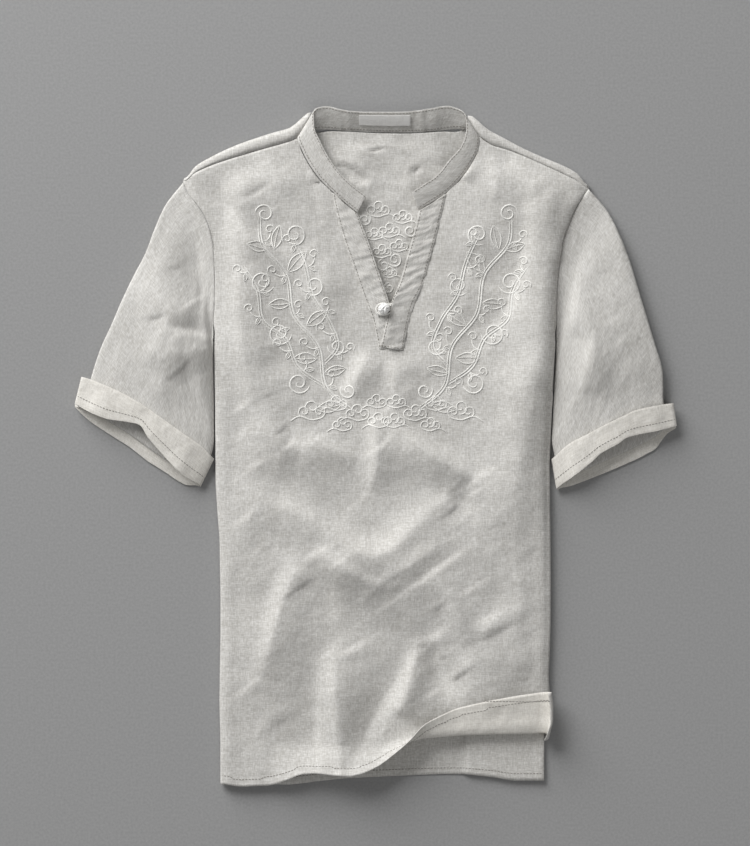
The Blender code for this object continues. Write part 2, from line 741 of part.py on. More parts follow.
def cuff_ring(side, share, count, inset=(0.0, 0.0, 0.0)):
    """A closed ring of the cuff at a share of the way from its top edge to its rim.

    It is shrunk by inset at the outer end, at the underarm and in height.
    """
    if side < 0:
        top, front, back = CUFF_TOP_LEFT, CUFF_FRONT_RIM_LEFT, CUFF_BACK_RIM_LEFT
    else:
        top, front, back = CUFF_TOP_RIGHT, CUFF_FRONT_RIM_RIGHT, CUFF_BACK_RIM_RIGHT
    upper = along(top, count) * (1 - share) + along(front, count) * share
    lower = along(top, count) * (1 - share) + along(back, count) * share
    across = np.linspace(0, 1, count)
    top_z = np.interp(across, column(CUFF_HEIGHTS, 0), column(CUFF_HEIGHTS, 1))
    rim_z = np.interp(across, column(CUFF_HEIGHTS, 0), column(CUFF_HEIGHTS, 2))
    upper_z = top_z * (1 - share) + rim_z * share - inset[2]
    lower_z = np.full(count, CUFF_WALL / 2 + inset[2])
    return closed_ring(upper, upper_z, lower, lower_z, inset[0], inset[1])


def closed_ring(upper, upper_z, lower, lower_z, inset_start, inset_end):
    """Upper layer, underarm roll, lower layer back again, outer roll."""
    count = len(upper)

    def pulled(line):
        line = line.copy()
        length = np.linalg.norm(line[-1] - line[0])
        start = (upper_z[0] - lower_z[0]) / 2 * 0.9 + inset_start
        end = (upper_z[-1] - lower_z[-1]) / 2 * 0.9 + inset_end
        across = np.linspace(0, 1, count)
        new = start / length + across * (1 - (start + end) / length)
        return np.stack([np.interp(new, across, line[:, k]) for k in range(2)], axis=1)

    upper, lower = pulled(upper), pulled(lower)
    ring = [(*p, z) for p, z in zip(upper, upper_z)]

    def arc(a, za, b, zb, direction):
        radius = (za - zb) / 2
        for degrees in (60, 120):
            turn = math.radians(degrees)
            share = (1 - math.cos(turn)) / 2
            p = a + (b - a) * share + direction * radius * math.sin(turn)
            yield (*p, za + (zb - za) * share)

    outward = upper[-1] - upper[-2]
    outward = outward / np.linalg.norm(outward)
    ring += list(arc(upper[-1], upper_z[-1], lower[-1], lower_z[-1], outward))
    ring += [(*p, z) for p, z in zip(lower[::-1], lower_z[::-1])]
    outward = upper[0] - upper[1]
    outward = outward / np.linalg.norm(outward)
    ring += list(arc(lower[0], lower_z[0], upper[0], upper_z[0], outward))
    return np.array(ring)


def sleeve_grid(side, front, back_z, middle, inner):
    """Rings of the sleeve from the armhole seam to inside the cuff."""
    count = ARMPIT_ROW + 1
    layer = CUFF_WALL / 2 + LAYER_GAP + CLOTH / 2 + 0.3
    armhole = np.array(ARMHOLE_LEFT if side < 0 else ARMHOLE_RIGHT)
    edge = np.array(SLEEVE_EDGE_LEFT if side < 0 else SLEEVE_EDGE_RIGHT)
    seam_z = []
    for i in range(count):
        k = inner - 1 + (ROLL_CELLS if roll_of_row(i) > 0 else 0)
        seam_z.append(front[i, middle - 1 - k if side < 0 else middle + k, 2])
    seam_z[-1] = seam_z[-2] + 0.4
    cuff_top = cuff_ring(side, 0.0, count, (*CUFF_STAND_OFF, layer))
    cuff_upper = cuff_top[:count]
    cuff_lower = cuff_top[count + 2 : 2 * count + 2][::-1]
    steps = SLEEVE_STEPS
    start_line = armhole + np.array([[side * gap, 0.0] for gap in ARMHOLE_GAPS])
    outer_line = along(edge, steps)
    under_y = np.linspace(armhole[-1][1], cuff_upper[-1][1], steps)
    under_line = np.array([[side_x(side, y) + side * UNDERARM_GAP, y] for y in under_y])
    rings = []
    for r in range(steps - 1):
        u = r / (steps - 1)
        v = np.linspace(0, 1, count)[:, None]
        plain = (1 - u) * start_line + u * cuff_upper[:, :2]
        left, right = outer_line[r], under_line[r]
        bend_start = left - plain[0]
        bend_end = right - plain[-1]
        plan = plain + ((1 - v) * bend_start + v * bend_end) * (r > 0)
        table = [np.interp(u, column(SLEEVE_HEIGHTS, 0), column(SLEEVE_HEIGHTS, k)) for k in (1, 2, 3)]
        outer, high, under = table
        profile = [outer, 0.35 * outer + 0.65 * high, high, 0.5 * high + 0.5 * under, under]
        shape = np.interp(v[:, 0], [0, 0.15, 0.5, 0.85, 1], profile)
        blend = smooth(u / 0.2)
        z = np.array(seam_z) * (1 - blend) + shape * blend
        calm = smooth(u / 0.25) * smooth((1 - u) / 0.25) * np.sin(np.pi * v[:, 0])
        z = z + calm * [fold_height(SLEEVE_FOLDS, p[0], p[1]) for p in plan]
        late = smooth((u - 0.7) / 0.3)
        z = z * (1 - late) + late * cuff_upper[:, 2]
        low = np.array(back_z) * (1 - smooth(u / 0.3)) + BACK_Z * smooth(u / 0.3)
        low = low * (1 - late) + late * cuff_lower[:, 2]
        rings.append(closed_ring(plan, z, plan, low, 0.0, 0.0))
    rings.append(cuff_top)
    for share in SLEEVE_END_SHARES:
        rings.append(cuff_ring(side, share, count, (*CUFF_STAND_OFF, layer)))
    return np.array(rings)


def collar_grid():
    """Sections of the band from the left end of the opening, round the neck, to the right end."""
    sections = []
    shares = (0.0, 0.34, 0.6, 0.86, 1.0)

    def section(seam, seam_z, top, top_z):
        lean = top - seam
        lean = lean / np.linalg.norm(lean)
        foot = seam + lean * (SEAM_GAP + BAND * 0.5)
        belly = 0.8
        return [
            (*(foot + (top - foot) * s), seam_z + (top_z - seam_z) * s + belly * math.sin(math.pi * s))
            for s in shares
        ]

    for x, y, top_x, top_y, top_z in reversed(NECK_LEFT):
        sections.append(section(np.array([x, y]), FRONT_Z, np.array([top_x, top_y]), top_z))
    for x, y, z, top_x, top_y, top_z in NECK_BACK:
        sections.append(section(np.array([x, y]), z, np.array([top_x, top_y]), top_z))
    for x, y, top_x, top_y, top_z in NECK_RIGHT:
        sections.append(section(np.array([x, y]), FRONT_Z, np.array([top_x, top_y]), top_z))
    return np.array(sections)


def placket_grid(front, middle, side):
    """A strip over the front's own points beside the opening, moved out."""
    first, last = NECK_ROWS, NECK_ROWS + len(OPENING_LEFT)
    lift = CLOTH / 2 + LAYER_GAP + PLACKET / 2
    step = CLOTH / 2 + PLACKET
    rows = []
    for i in range(first, last + 1):
        run = [front[i, middle - 1 - k if side < 0 else middle + k].copy() for k in range(PLACKET_CELLS + 1)]
        crossing = i - (last + 1 - len(CROSSING))
        for p in run:
            p[2] += lift
        if side > 0 and crossing >= 0:
            run[0][:2] = CROSSING[crossing]
            run[1][:2] = (front[i, middle, 0] + 2.0, run[1][1])
            run[0][2] += step
            run[1][2] += step
        rows.append(run)
    return np.array(rows)


def label_grid(collar):
    """The tape inside the back of the band, from the band's own points, moved out."""
    first = len(NECK_LEFT) + LABEL_SECTIONS[0]
    last = len(NECK_LEFT) + LABEL_SECTIONS[1]
    patch = collar[first : last + 1, 1:4].copy()
    along_band = patch[-1, 0] - patch[0, 0]
    up_band = patch[0, -1] - patch[0, 0]
    out = np.cross(along_band, up_band)
    out = out / np.linalg.norm(out)
    return patch + out * (BAND / 2 + SEAM_GAP + LABEL_WALL / 2)


def knot_button(material, collection, parent):
    """The cord knot with its short tail, sewn on the lower placket."""
    top = FRONT_Z + CLOTH / 2 + LAYER_GAP + PLACKET
    x, y = KNOT_PLACE
    bm = bmesh.new()
    bmesh.ops.create_uvsphere(bm, u_segments=16, v_segments=10, radius=KNOT_RADIUS * MM)
    mesh = bpy.data.meshes.new("knot_button")
    bm.to_mesh(mesh)
    bm.free()
    knot = add_object("knot_button", mesh, material, collection, parent)
    knot.location = (x * MM, y * MM, (top + LAYER_GAP + KNOT_RADIUS) * MM)
    tail_z = top + LAYER_GAP + CORD_RADIUS
    bm = bmesh.new()
    bmesh.ops.create_cone(
        bm, cap_ends=True, segments=10, radius1=CORD_RADIUS * MM, radius2=CORD_RADIUS * MM, depth=1.0
    )
    mesh = bpy.data.meshes.new("knot_tail")
    bm.to_mesh(mesh)
    bm.free()
    tail = add_object("knot_tail", mesh, material, collection, parent)
    run = Vector((KNOT_TAIL[0] - x, KNOT_TAIL[1] - y, 0.0))
    tail.scale = (1.0, 1.0, run.length * MM)
    tail.rotation_euler = run.to_track_quat("Z", "Y").to_euler()
    tail.location = ((x + run.x / 2) * MM, (y + run.y / 2) * MM, tail_z * MM)
    tail.hide_render = True
    tail.display_type = "WIRE"
    join = knot.modifiers.new("tail", "BOOLEAN")
    join.operation = "UNION"
    join.solver = "EXACT"
    join.object = tail


def button_loop(material, collection, parent):
    """The cord loop sewn on the upper placket, reaching toward the knot."""
    step = CLOTH / 2 + PLACKET
    z = FRONT_Z + CLOTH / 2 + 2 * LAYER_GAP + PLACKET + step + CORD_RADIUS
    cord_curve("button_loop", [(x, y, z) for x, y in LOOP_LINE], LOOP_RADIUS, material, collection, parent)


def clear_scene():
    for obj in list(bpy.data.objects):
        bpy.data.objects.remove(obj, do_unlink=True)


def new_material(name, color, roughness):
    made = bpy.data.materials.new(name)
    made.use_nodes = True
    shader = made.node_tree.nodes["Principled BSDF"]
    shader.inputs["Base Color"].default_value = (*color, 1.0)
    shader.inputs["Roughness"].default_value = roughness
    return made


def add_object(name, mesh, material, collection, parent):
    obj = bpy.data.objects.new(name, mesh)
    mesh.materials.append(material)
    collection.objects.link(obj)
    obj.parent = parent
    for polygon in mesh.polygons:
        polygon.use_smooth = True
    return obj


def cloth_object(name, points, wall, material, collection, parent, keep=None, tube=False):
    """A grid warped to rows of points in millimetres, thickened evenly on both sides."""
    rows, columns = points.shape[:2]
    segments = columns if tube else columns - 1
    bm = bmesh.new()
    bmesh.ops.create_grid(bm, x_segments=segments, y_segments=rows - 1, size=1.0)
    dropped = []
    for face in bm.faces:
        middle = face.calc_center_median()
        i = int((1.0 - middle.y) / 2.0 * (rows - 1))
        j = int((1.0 + middle.x) / 2.0 * segments)
        if keep is not None and not keep[i, j]:
            dropped.append(face)
    for vertex in bm.verts:
        i = round((1.0 - vertex.co.y) / 2.0 * (rows - 1))
        j = round((1.0 + vertex.co.x) / 2.0 * segments) % columns
        vertex.co = Vector(points[i, j]) * MM
    bmesh.ops.delete(bm, geom=dropped, context="FACES")
    if tube:
        bmesh.ops.remove_doubles(bm, verts=bm.verts, dist=0.0000001)
    mesh = bpy.data.meshes.new(name)
    bm.to_mesh(mesh)
    bm.free()
    obj = add_object(name, mesh, material, collection, parent)
    solidify = obj.modifiers.new("wall", "SOLIDIFY")
    solidify.thickness = wall * MM
    solidify.offset = 0.0
    solidify.use_even_offset = True
    solidify.use_quality_normals = True
    return obj


def cord_curve(name, points, radius, material, collection, parent):
    """A round cord through points in millimetres, with closed ends."""
    data = bpy.data.curves.new(name, "CURVE")
    data.dimensions = "3D"
    data.bevel_depth = radius * MM
    data.bevel_resolution = 2
    data.resolution_u = 4
    data.use_fill_caps = True
    spline = data.splines.new("NURBS")
    spline.points.add(len(points) - 1)
    for target, point in zip(spline.points, points):
        target.co = (*(Vector(point) * MM), 1.0)
    spline.use_endpoint_u = True
    spline.order_u = 3
    obj = bpy.data.objects.new(name, data)
    data.materials.append(material)
    collection.objects.link(obj)
    obj.parent = parent
    return obj


def main():
    clear_scene()
    collection = bpy.data.collections.new("linen_shirt")
    bpy.context.scene.collection.children.link(collection)
    root = bpy.data.objects.new("linen_shirt_origin", None)
    collection.objects.link(root)
    root.location = (-BOX_MIDDLE[0] * MM, -BOX_MIDDLE[1] * MM, 0.0)
    linen = new_material("linen", LINEN, 0.9)
    inside = new_material("linen_turned", LINEN_INSIDE, 0.9)
    cord = new_material("cord", CORD, 0.7)
    tape = new_material("tape", TAPE, 0.8)

    front, front_keep, middle, inner = front_grid()
    cloth_object("front", front, CLOTH, linen, collection, root, front_keep)
    back, back_keep = back_grid(front, middle, inner)
    cloth_object("back", back, CLOTH, linen, collection, root, back_keep)
    for side, name in ((-1, "left"), (1, "right")):
        edge = HAIRPIN_CELLS + 1 if side < 0 else back.shape[1] - HAIRPIN_CELLS - 2
        back_z = [back[SHOULDER_ROWS + i, edge, 2] for i in range(ARMPIT_ROW)] + [BACK_Z + 1.6]
        sleeve = sleeve_grid(side, front, back_z, middle, inner)
        cloth_object(f"sleeve_{name}", sleeve, CLOTH, linen, collection, root, tube=True)
        cuff = np.array([cuff_ring(side, s, CUFF_POINTS) for s in (0.0, 0.5, 1.0)])
        cloth_object(f"cuff_{name}", cuff, CUFF_WALL, inside, collection, root, tube=True)
        cloth_object(
            f"placket_{name}", placket_grid(front, middle, side), PLACKET, linen, collection, root
        )
    collar = collar_grid()
    cloth_object("collar", collar, BAND, linen, collection, root)
    cloth_object("label", label_grid(collar), LABEL_WALL, tape, collection, root)
    knot_button(cord, collection, root)
    button_loop(cord, collection, root)


main()
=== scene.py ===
"""Looks of the linen shirt, laid flat on its back: cloth, stitches, embroidery, cord knot, floor and light.

The tables are in millimetres, in the plan frame of the shirt's own drawing, and world() turns them into
the frame's metres. Each panel is a dense smooth grid through the same rows as its solid. A side is -1 for
left and 1 for right, as seen from above.
"""
import math

import bpy
import numpy as np
from mathutils import Euler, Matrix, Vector, noise
from mathutils.bvhtree import BVHTree

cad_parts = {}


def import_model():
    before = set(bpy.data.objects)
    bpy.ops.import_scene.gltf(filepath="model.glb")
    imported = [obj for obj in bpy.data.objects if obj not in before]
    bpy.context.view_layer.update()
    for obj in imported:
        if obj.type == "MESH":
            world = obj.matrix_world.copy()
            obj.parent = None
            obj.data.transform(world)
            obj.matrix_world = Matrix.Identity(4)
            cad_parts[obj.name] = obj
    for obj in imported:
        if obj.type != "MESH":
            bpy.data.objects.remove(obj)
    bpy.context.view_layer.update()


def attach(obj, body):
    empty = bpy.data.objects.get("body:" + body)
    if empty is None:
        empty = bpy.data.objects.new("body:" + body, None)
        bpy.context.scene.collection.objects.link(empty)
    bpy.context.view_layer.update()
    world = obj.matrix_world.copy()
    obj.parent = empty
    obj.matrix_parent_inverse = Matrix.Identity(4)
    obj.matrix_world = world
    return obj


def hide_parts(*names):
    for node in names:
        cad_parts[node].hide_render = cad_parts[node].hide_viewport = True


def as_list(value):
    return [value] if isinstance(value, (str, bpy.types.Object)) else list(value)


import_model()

MM = 0.001
SIDE_WORDS = {-1: "left", 1: "right"}

# Where the shirt's box has its middle in the tables' frame.
BOX_MIDDLE = (-0.5, -0.7)

# Sizes of the solids that the shells lie on, in millimetres.
CLOTH = 1.2
BAND = 1.8
CUFF_WALL = 2.0
PLACKET = 1.0
LABEL_WALL = 0.6
SEAM_GAP = 0.5
LAYER_GAP = 0.5
FRONT_Z = 8.2
BACK_Z = 0.6

# Sides folded under: width below and at the armpit, the length over which it grows, heights of the back's
# two layers there, the ramp up to them, and how near to x = 0 the fold may reach.
TUCK = 75.0
TUCK_START = 14.0
TUCK_GROWTH = 60.0
TUCK_BACK_Z = 4.1
TUCK_UNDER_Z = 2.3
TUCK_RAMP = 22.0
TUCK_LIMIT = 40.0
SIDE_ROLL = 3.8
BACK_INSET = 6.0
UNDER_HEM_RISE = 6.0

# Gaps between the sleeve and the cuff around it, the armhole's rows and the body's side.
CUFF_STAND_OFF = (12.0, 4.0)
CUFF_LAYER = CUFF_WALL / 2 + LAYER_GAP + CLOTH / 2 + 0.3
ARMHOLE_GAPS = (0.3, 0.15, 0.1, 0.1, 0.1, 0.1, 0.1, 0.1, 0.1, 0.4, 1.0)
UNDERARM_GAP = 1.4

# Cells of the control grids.
PLACKET_CELLS = 2
CHEST_CELLS = 8
ROLL_CELLS = 4
LOWER_ROWS = 20
TURN_ROWS = 4
REST_ROWS = 2
SHOULDER_ROWS = 4
HAIRPIN_CELLS = 3
NECK_COLUMNS = 9
BACK_ROWS = (18.0, 36.0, 54.0, 80.0, 140.0, 200.0, 260.0, 320.0, 370.0, 406.0)
ARMPIT_ROW = 10
NECK_ROWS = 4
SLEEVE_STEPS = 9
SLEEVE_END_SHARES = (0.4, 0.75)
CUFF_POINTS = 14
CUFF_CELLS = 10

# The side edge is level in the first rows, then turns by these degrees, and lies turned under below them.
LEVEL_ROWS = 6
SIDE_TURNS = {6: 15.0, 7: 30.0, 8: 45.0, 9: 70.0}
# Height of the front's upper rows, and how far the rows beside the neck bow upward.
ROW_STEP = 16.0
NECK_BOW = 2.0
# Share of the front's lower rows over which their columns become even, and the hem's height at its sides.
EVEN_SHARE = 0.35
HEM_SIDE_Y = -300.0
# How much of its height the front loses in the first rows below the shoulder seam.
SHOULDER_FADE = (1.0, 0.55, 0.2, 0.05)
# How the back rises to its tucked sides below the armpit: weight, top and length of each ramp.
BACK_RISE = ((0.6, 125.0, 19.0), (0.4, 135.0, 28.0))
# How much more the back is drawn in low on the right: width, top and length of the ramp.
BACK_RIGHT_INSET = (2.5, -240.0, 40.0)

# Where the cloth starts to crease: widths beside the sides, the opening and the top.
SIDE_CALM = 34.0
OPENING_CALM = (4.0, 26.0)
OPENING_FOOT = 60.0
TOP_CALM = 40.0
# Any distance from the shoulder that is past the calm strip.
FREE = 100.0
# How fast the creases grow from the calm edges inward, and how far the free cloth rises.
CALM_POWER = 0.38
CHEST_RISE = 1.2
OPENING_MIDDLE = 11.0

# Where the shoulder strip ends under the collar on each side, and how low it lies there.
STRIP_ENDS = {-1: (-68.0, 350.5), 1: (96.5, 347.0)}
STRIP_END_SINK = 0.6

# Walls of the thin shells shown, the size of a dense grid's cell, and the least height of a shell's middle.
SHELL = 0.7
THICK_SHELL = 1.5
CELL = 2.8
LOWEST = 0.6

# Length of cloth from the shoulder seam to where the hem starts to lift, and where it starts to turn up.
HEM_LENGTH_START = 628.0
FLAP_START = -5.0
# How far the right end of the turned-up hem rolls out, and shares of that at stations from bend to hem.
FLAP_END_BULGE = 8.0
FLAP_END_SHARES = ((0.0, 0.15, 0.3, 0.55, 0.8, 1.0), (0.0, -0.7, -0.9, 0.5, 0.5, -0.1))
# How far a placket's outermost columns sink into the front.
PLACKET_EDGE_SINK = (0.9, 0.45, 0.15)
# Ramps of the back's free cloth, by -y and y, and of what the neck shows, by y and -x from the middle.
BACK_FREE = ((-270.0, 60.0), (-330.0, 30.0))
NECK_VIEW = ((175.0, 40.0), (-80.0, 30.0))
# Ramps of the band's puckered back, by y and -x from the middle.
BAND_BACK = ((318.0, 14.0), (-66.0, 16.0))
# The label's middle, and how far to each side of it the band stays smooth.
LABEL_MIDDLE = 9.0
LABEL_REACH = 24.0
LABEL_RAMP = 8.0

# Neck seam of the front from the shoulder to the opening, with the band's top edge.
# seam_x, seam_y, top_x, top_y, top_z
NECK = {
    -1: (
        (-83.0, 322.9, -65.1, 342.8, 13.0), (-77.7, 308.7, -64.6, 333.9, 13.5),
        (-68.2, 291.4, -58.3, 319.2, 13.5), (-57.8, 277.7, -48.3, 300.3, 13.5),
        (-46.2, 266.2, -36.8, 285.1, 13.0), (-33.1, 254.6, -23.6, 272.5, 13.0),
        (-19.9, 244.1, -10.5, 262.5, 12.6),
    ),
    1: (
        (108.2, 325.0, 94.5, 341.2, 12.2), (107.6, 311.3, 94.5, 328.7, 12.5),
        (100.8, 296.6, 89.2, 314.5, 12.5), (89.2, 279.8, 76.7, 299.8, 12.5),
        (73.5, 264.6, 62.0, 282.4, 12.2), (59.3, 255.2, 49.9, 274.6, 12.0),
        (45.1, 246.8, 37.8, 266.2, 12.0),
    ),
}
# Neck seam of the back from left to right, with the band's top edge.
# seam_x, seam_y, seam_z, top_x, top_y, top_z
NECK_BACK = (
    (-79.3, 328.1, 5.6, -64.0, 352.8, 12.8), (-66.2, 331.3, 2.4, -54.6, 355.9, 12.4),
    (-35.7, 330.8, 1.7, -34.6, 352.3, 13.0), (-17.9, 329.7, 1.7, -17.9, 350.5, 12.0),
    (0.0, 328.9, 1.7, 0.0, 350.3, 12.0), (17.9, 328.3, 1.7, 17.9, 350.3, 12.0),
    (36.2, 328.4, 1.7, 36.2, 350.7, 12.0), (56.7, 329.4, 1.7, 54.6, 353.3, 13.0),
    (90.3, 332.3, 2.4, 79.8, 355.7, 12.4), (104.0, 330.2, 5.6, 92.9, 348.1, 12.8),
)
# Armhole seam of the front, one row for each of the first rows of the grid: x, y
ARMHOLE = {
    -1: (
        (-202.7, 277.7), (-197.4, 265.7), (-186.9, 252.5), (-178.5, 238.4), (-173.2, 222.6),
        (-170.6, 205.8), (-169.7, 186.9), (-169.6, 167.0), (-169.9, 146.0), (-170.5, 125.0),
        (-170.3, 106.1),
    ),
    1: (
        (223.7, 270.9), (214.7, 258.3), (207.4, 245.7), (201.1, 230.0), (196.3, 216.3), (193.2, 197.4),
        (191.4, 178.5), (190.3, 160.7), (189.8, 142.8), (189.5, 125.0), (189.0, 106.1),
    ),
}
# Front opening below the band: edge_x, edge_y, placket_seam_x, placket_seam_y
OPENING = {
    -1: (
        (-13.1, 227.9, -41.0, 241.5), (-6.3, 210.0, -33.6, 216.3), (0.5, 190.1, -25.2, 192.2),
        (7.4, 170.1, -16.8, 168.0), (13.7, 150.2, -9.5, 148.1), (14.4, 134.4, -3.2, 132.3),
        (14.7, 118.7, 0.5, 116.6), (15.1, 102.4, 3.7, 101.9),
    ),
    1: (
        (41.0, 228.9, 67.7, 239.4), (35.7, 210.0, 62.0, 216.3), (30.5, 191.1, 55.7, 193.2),
        (24.2, 170.1, 48.8, 169.1), (17.5, 150.2, 40.4, 149.1), (16.8, 134.4, 35.2, 133.3),
        (16.8, 118.7, 31.5, 116.6), (17.2, 102.4, 28.4, 100.8),
    ),
}
# Inner edge of the upper placket where it crosses the lower one: x, y
CROSSING = (
    (16.3, 150.2), (12.1, 134.4), (7.9, 118.7), (4.2, 104.5),
)
# Side edge of the body below the armhole: y, left_x, right_x
SIDES = (
    (106.1, -170.3, 189.0), (65.1, -169.8, 186.5), (48.3, -169.5, 185.8), (-18.9, -169.1, 182.7),
    (-45.1, -168.8, 183.0), (-98.7, -164.8, 183.8), (-152.2, -163.8, 184.1), (-193.2, -163.8, 183.8),
    (-246.8, -164.6, 181.7), (-273.0, -164.8, 184.3), (-312.9, -163.8, 184.3), (-358.1, -159.6, 180.6),
)
# Shoulder outline of the back from the neck to the sleeve: x, y
SHOULDER = {
    -1: (
        (-76.5, 345.0), (-84.0, 338.6), (-88.2, 334.9), (-116.6, 326.6), (-150.2, 315.0), (-177.5, 301.4),
        (-191.1, 292.9), (-201.6, 281.4),
    ),
    1: (
        (104.0, 340.6), (110.2, 335.6), (116.6, 332.9), (157.5, 310.8), (197.4, 294.0), (214.2, 284.6),
        (223.1, 274.6),
    ),
}
# Forward shoulder seam from the neck to the sleeve: x, y
SEAM = {
    -1: (
        (-83.0, 322.9), (-95.0, 318.2), (-125.0, 309.8), (-153.3, 301.4), (-173.2, 294.5), (-186.9, 288.8),
        (-202.7, 277.7),
    ),
    1: (
        (108.2, 325.0), (122.9, 315.0), (140.7, 310.3), (169.1, 298.2), (197.4, 285.1), (212.1, 277.7),
        (223.7, 270.9),
    ),
}
# How the front's hem is turned up: x, bend_y, turn_length, rest_length, angle_deg
HEM_TURN = (
    (-169.1, -308.7, 14.7, 29.4, 0.0), (-150.2, -308.7, 14.7, 34.6, 0.0), (-107.1, -308.7, 14.7, 32.6, 0.0),
    (-91.4, -308.7, 12.6, 28.4, 12.0), (-76.7, -308.7, 11.0, 24.7, 20.0), (-57.8, -308.7, 13.7, 22.1, 25.0),
    (-34.6, -308.7, 9.5, 30.5, 16.0), (-11.6, -308.7, 12.6, 25.2, 28.0), (4.2, -307.7, 16.0, 15.0, 40.0),
    (25.2, -302.4, 17.0, 6.0, 70.0), (46.2, -301.7, 12.0, 12.6, 148.0), (77.7, -300.1, 11.7, 23.8, 176.0),
    (109.2, -299.5, 10.2, 32.1, 172.0), (151.2, -298.5, 10.4, 38.2, 176.0),
    (184.8, -298.0, 10.6, 41.2, 178.0),
)
# Hem of the back: x, y
BACK_HEM = (
    (-169.1, -348.6), (-147.0, -354.9), (-90.3, -355.9), (-31.5, -349.7), (25.2, -347.0), (67.2, -345.4),
    (96.6, -345.4), (122.9, -348.1), (141.8, -351.8), (180.6, -351.8),
)
# Outer edge of each sleeve from the shoulder to the cuff: x, y
SLEEVE_EDGE = {
    -1: (
        (-204.8, 275.6), (-211.5, 271.4), (-230.0, 239.4), (-243.6, 204.8), (-264.6, 165.9),
        (-283.5, 122.9), (-301.4, 78.8),
    ),
    1: (
        (225.8, 269.9), (238.4, 256.7), (251.0, 236.2), (264.6, 210.0), (276.7, 171.2), (288.8, 133.3),
        (301.4, 91.4), (307.7, 53.6),
    ),
}
# Turned-up cuff: its top edge on the sleeve, and the front and back of its rim: x, y
CUFF_TOP = {
    -1: (
        (-312.9, 73.5), (-300.3, 70.4), (-271.9, 58.8), (-247.8, 45.7), (-223.7, 28.9), (-199.5, 11.6),
        (-186.9, 3.2), (-176.4, -5.2), (-171.2, -13.1),
    ),
    1: (
        (316.1, 45.1), (302.4, 44.1), (271.9, 37.8), (240.5, 22.6), (199.5, 1.1), (185.3, -13.7),
    ),
}
CUFF_FRONT_RIM = {
    -1: (
        (-319.2, 46.2), (-304.5, 37.3), (-283.5, 28.4), (-259.4, 25.2), (-247.8, 23.1), (-240.5, 11.6),
        (-232.1, 1.1), (-217.4, -15.8), (-201.6, -31.5), (-184.8, -41.0),
    ),
    1: (
        (319.2, 22.1), (299.2, 16.8), (277.2, 12.6), (263.6, 9.5), (254.1, 2.6), (235.2, -7.4),
        (224.7, -17.9), (205.8, -32.6), (190.1, -44.1),
    ),
}
CUFF_BACK_RIM = {
    -1: (
        (-319.2, 45.1), (-307.7, 30.5), (-284.6, 14.7), (-261.4, 0.5), (-240.5, -15.8), (-220.5, -28.4),
        (-206.9, -37.8), (-195.3, -43.1), (-184.8, -41.5),
    ),
    1: (
        (319.2, 21.0), (303.4, 12.6), (299.2, 0.0), (279.3, -11.6), (251.0, -24.2), (222.6, -35.7),
        (202.7, -43.1), (190.1, -45.1),
    ),
}
# Cord knot, the end of its tail, and the line of its loop: x, y
KNOT_PLACE = (8.4, 143.8)
KNOT_TAIL = (-2.1, 135.5)
LOOP_LINE = (
    (15.5, 147.0), (9.0, 150.5), (2.0, 149.0), (-0.5, 143.5), (1.5, 138.0), (8.0, 136.6), (14.5, 139.6),
)
LOOP_RADIUS = 1.0
# First and last of the band's back sections that carry the label.
LABEL_SECTIONS = (3, 6)
# Height of the sleeve's upper layer along the sleeve: share_of_length, outer_edge, middle, underarm
SLEEVE_HEIGHTS = (
    (0.0, 0.0, 0.0, 0.0), (0.2, 7.5, 13.5, 6.0), (0.45, 9.0, 17.5, 5.0), (0.7, 10.0, 18.5, 5.0),
    (1.0, 11.0, 16.0, 8.0),
)
# Stations over the band's height.
BAND_SHARES = (0.0, 0.34, 0.6, 0.86, 1.0)
# Shares of the sleeve's width at which its profile is set.
SLEEVE_STATIONS = (0.0, 0.15, 0.5, 0.85, 1.0)
# Height of the cuff's front: share_across, top_edge_z, rim_z
CUFF_HEIGHTS = (
    (0.0, 11.0, 10.0), (0.15, 16.0, 15.0), (0.5, 18.0, 17.5), (0.85, 15.0, 16.0), (1.0, 10.0, 8.0),
)
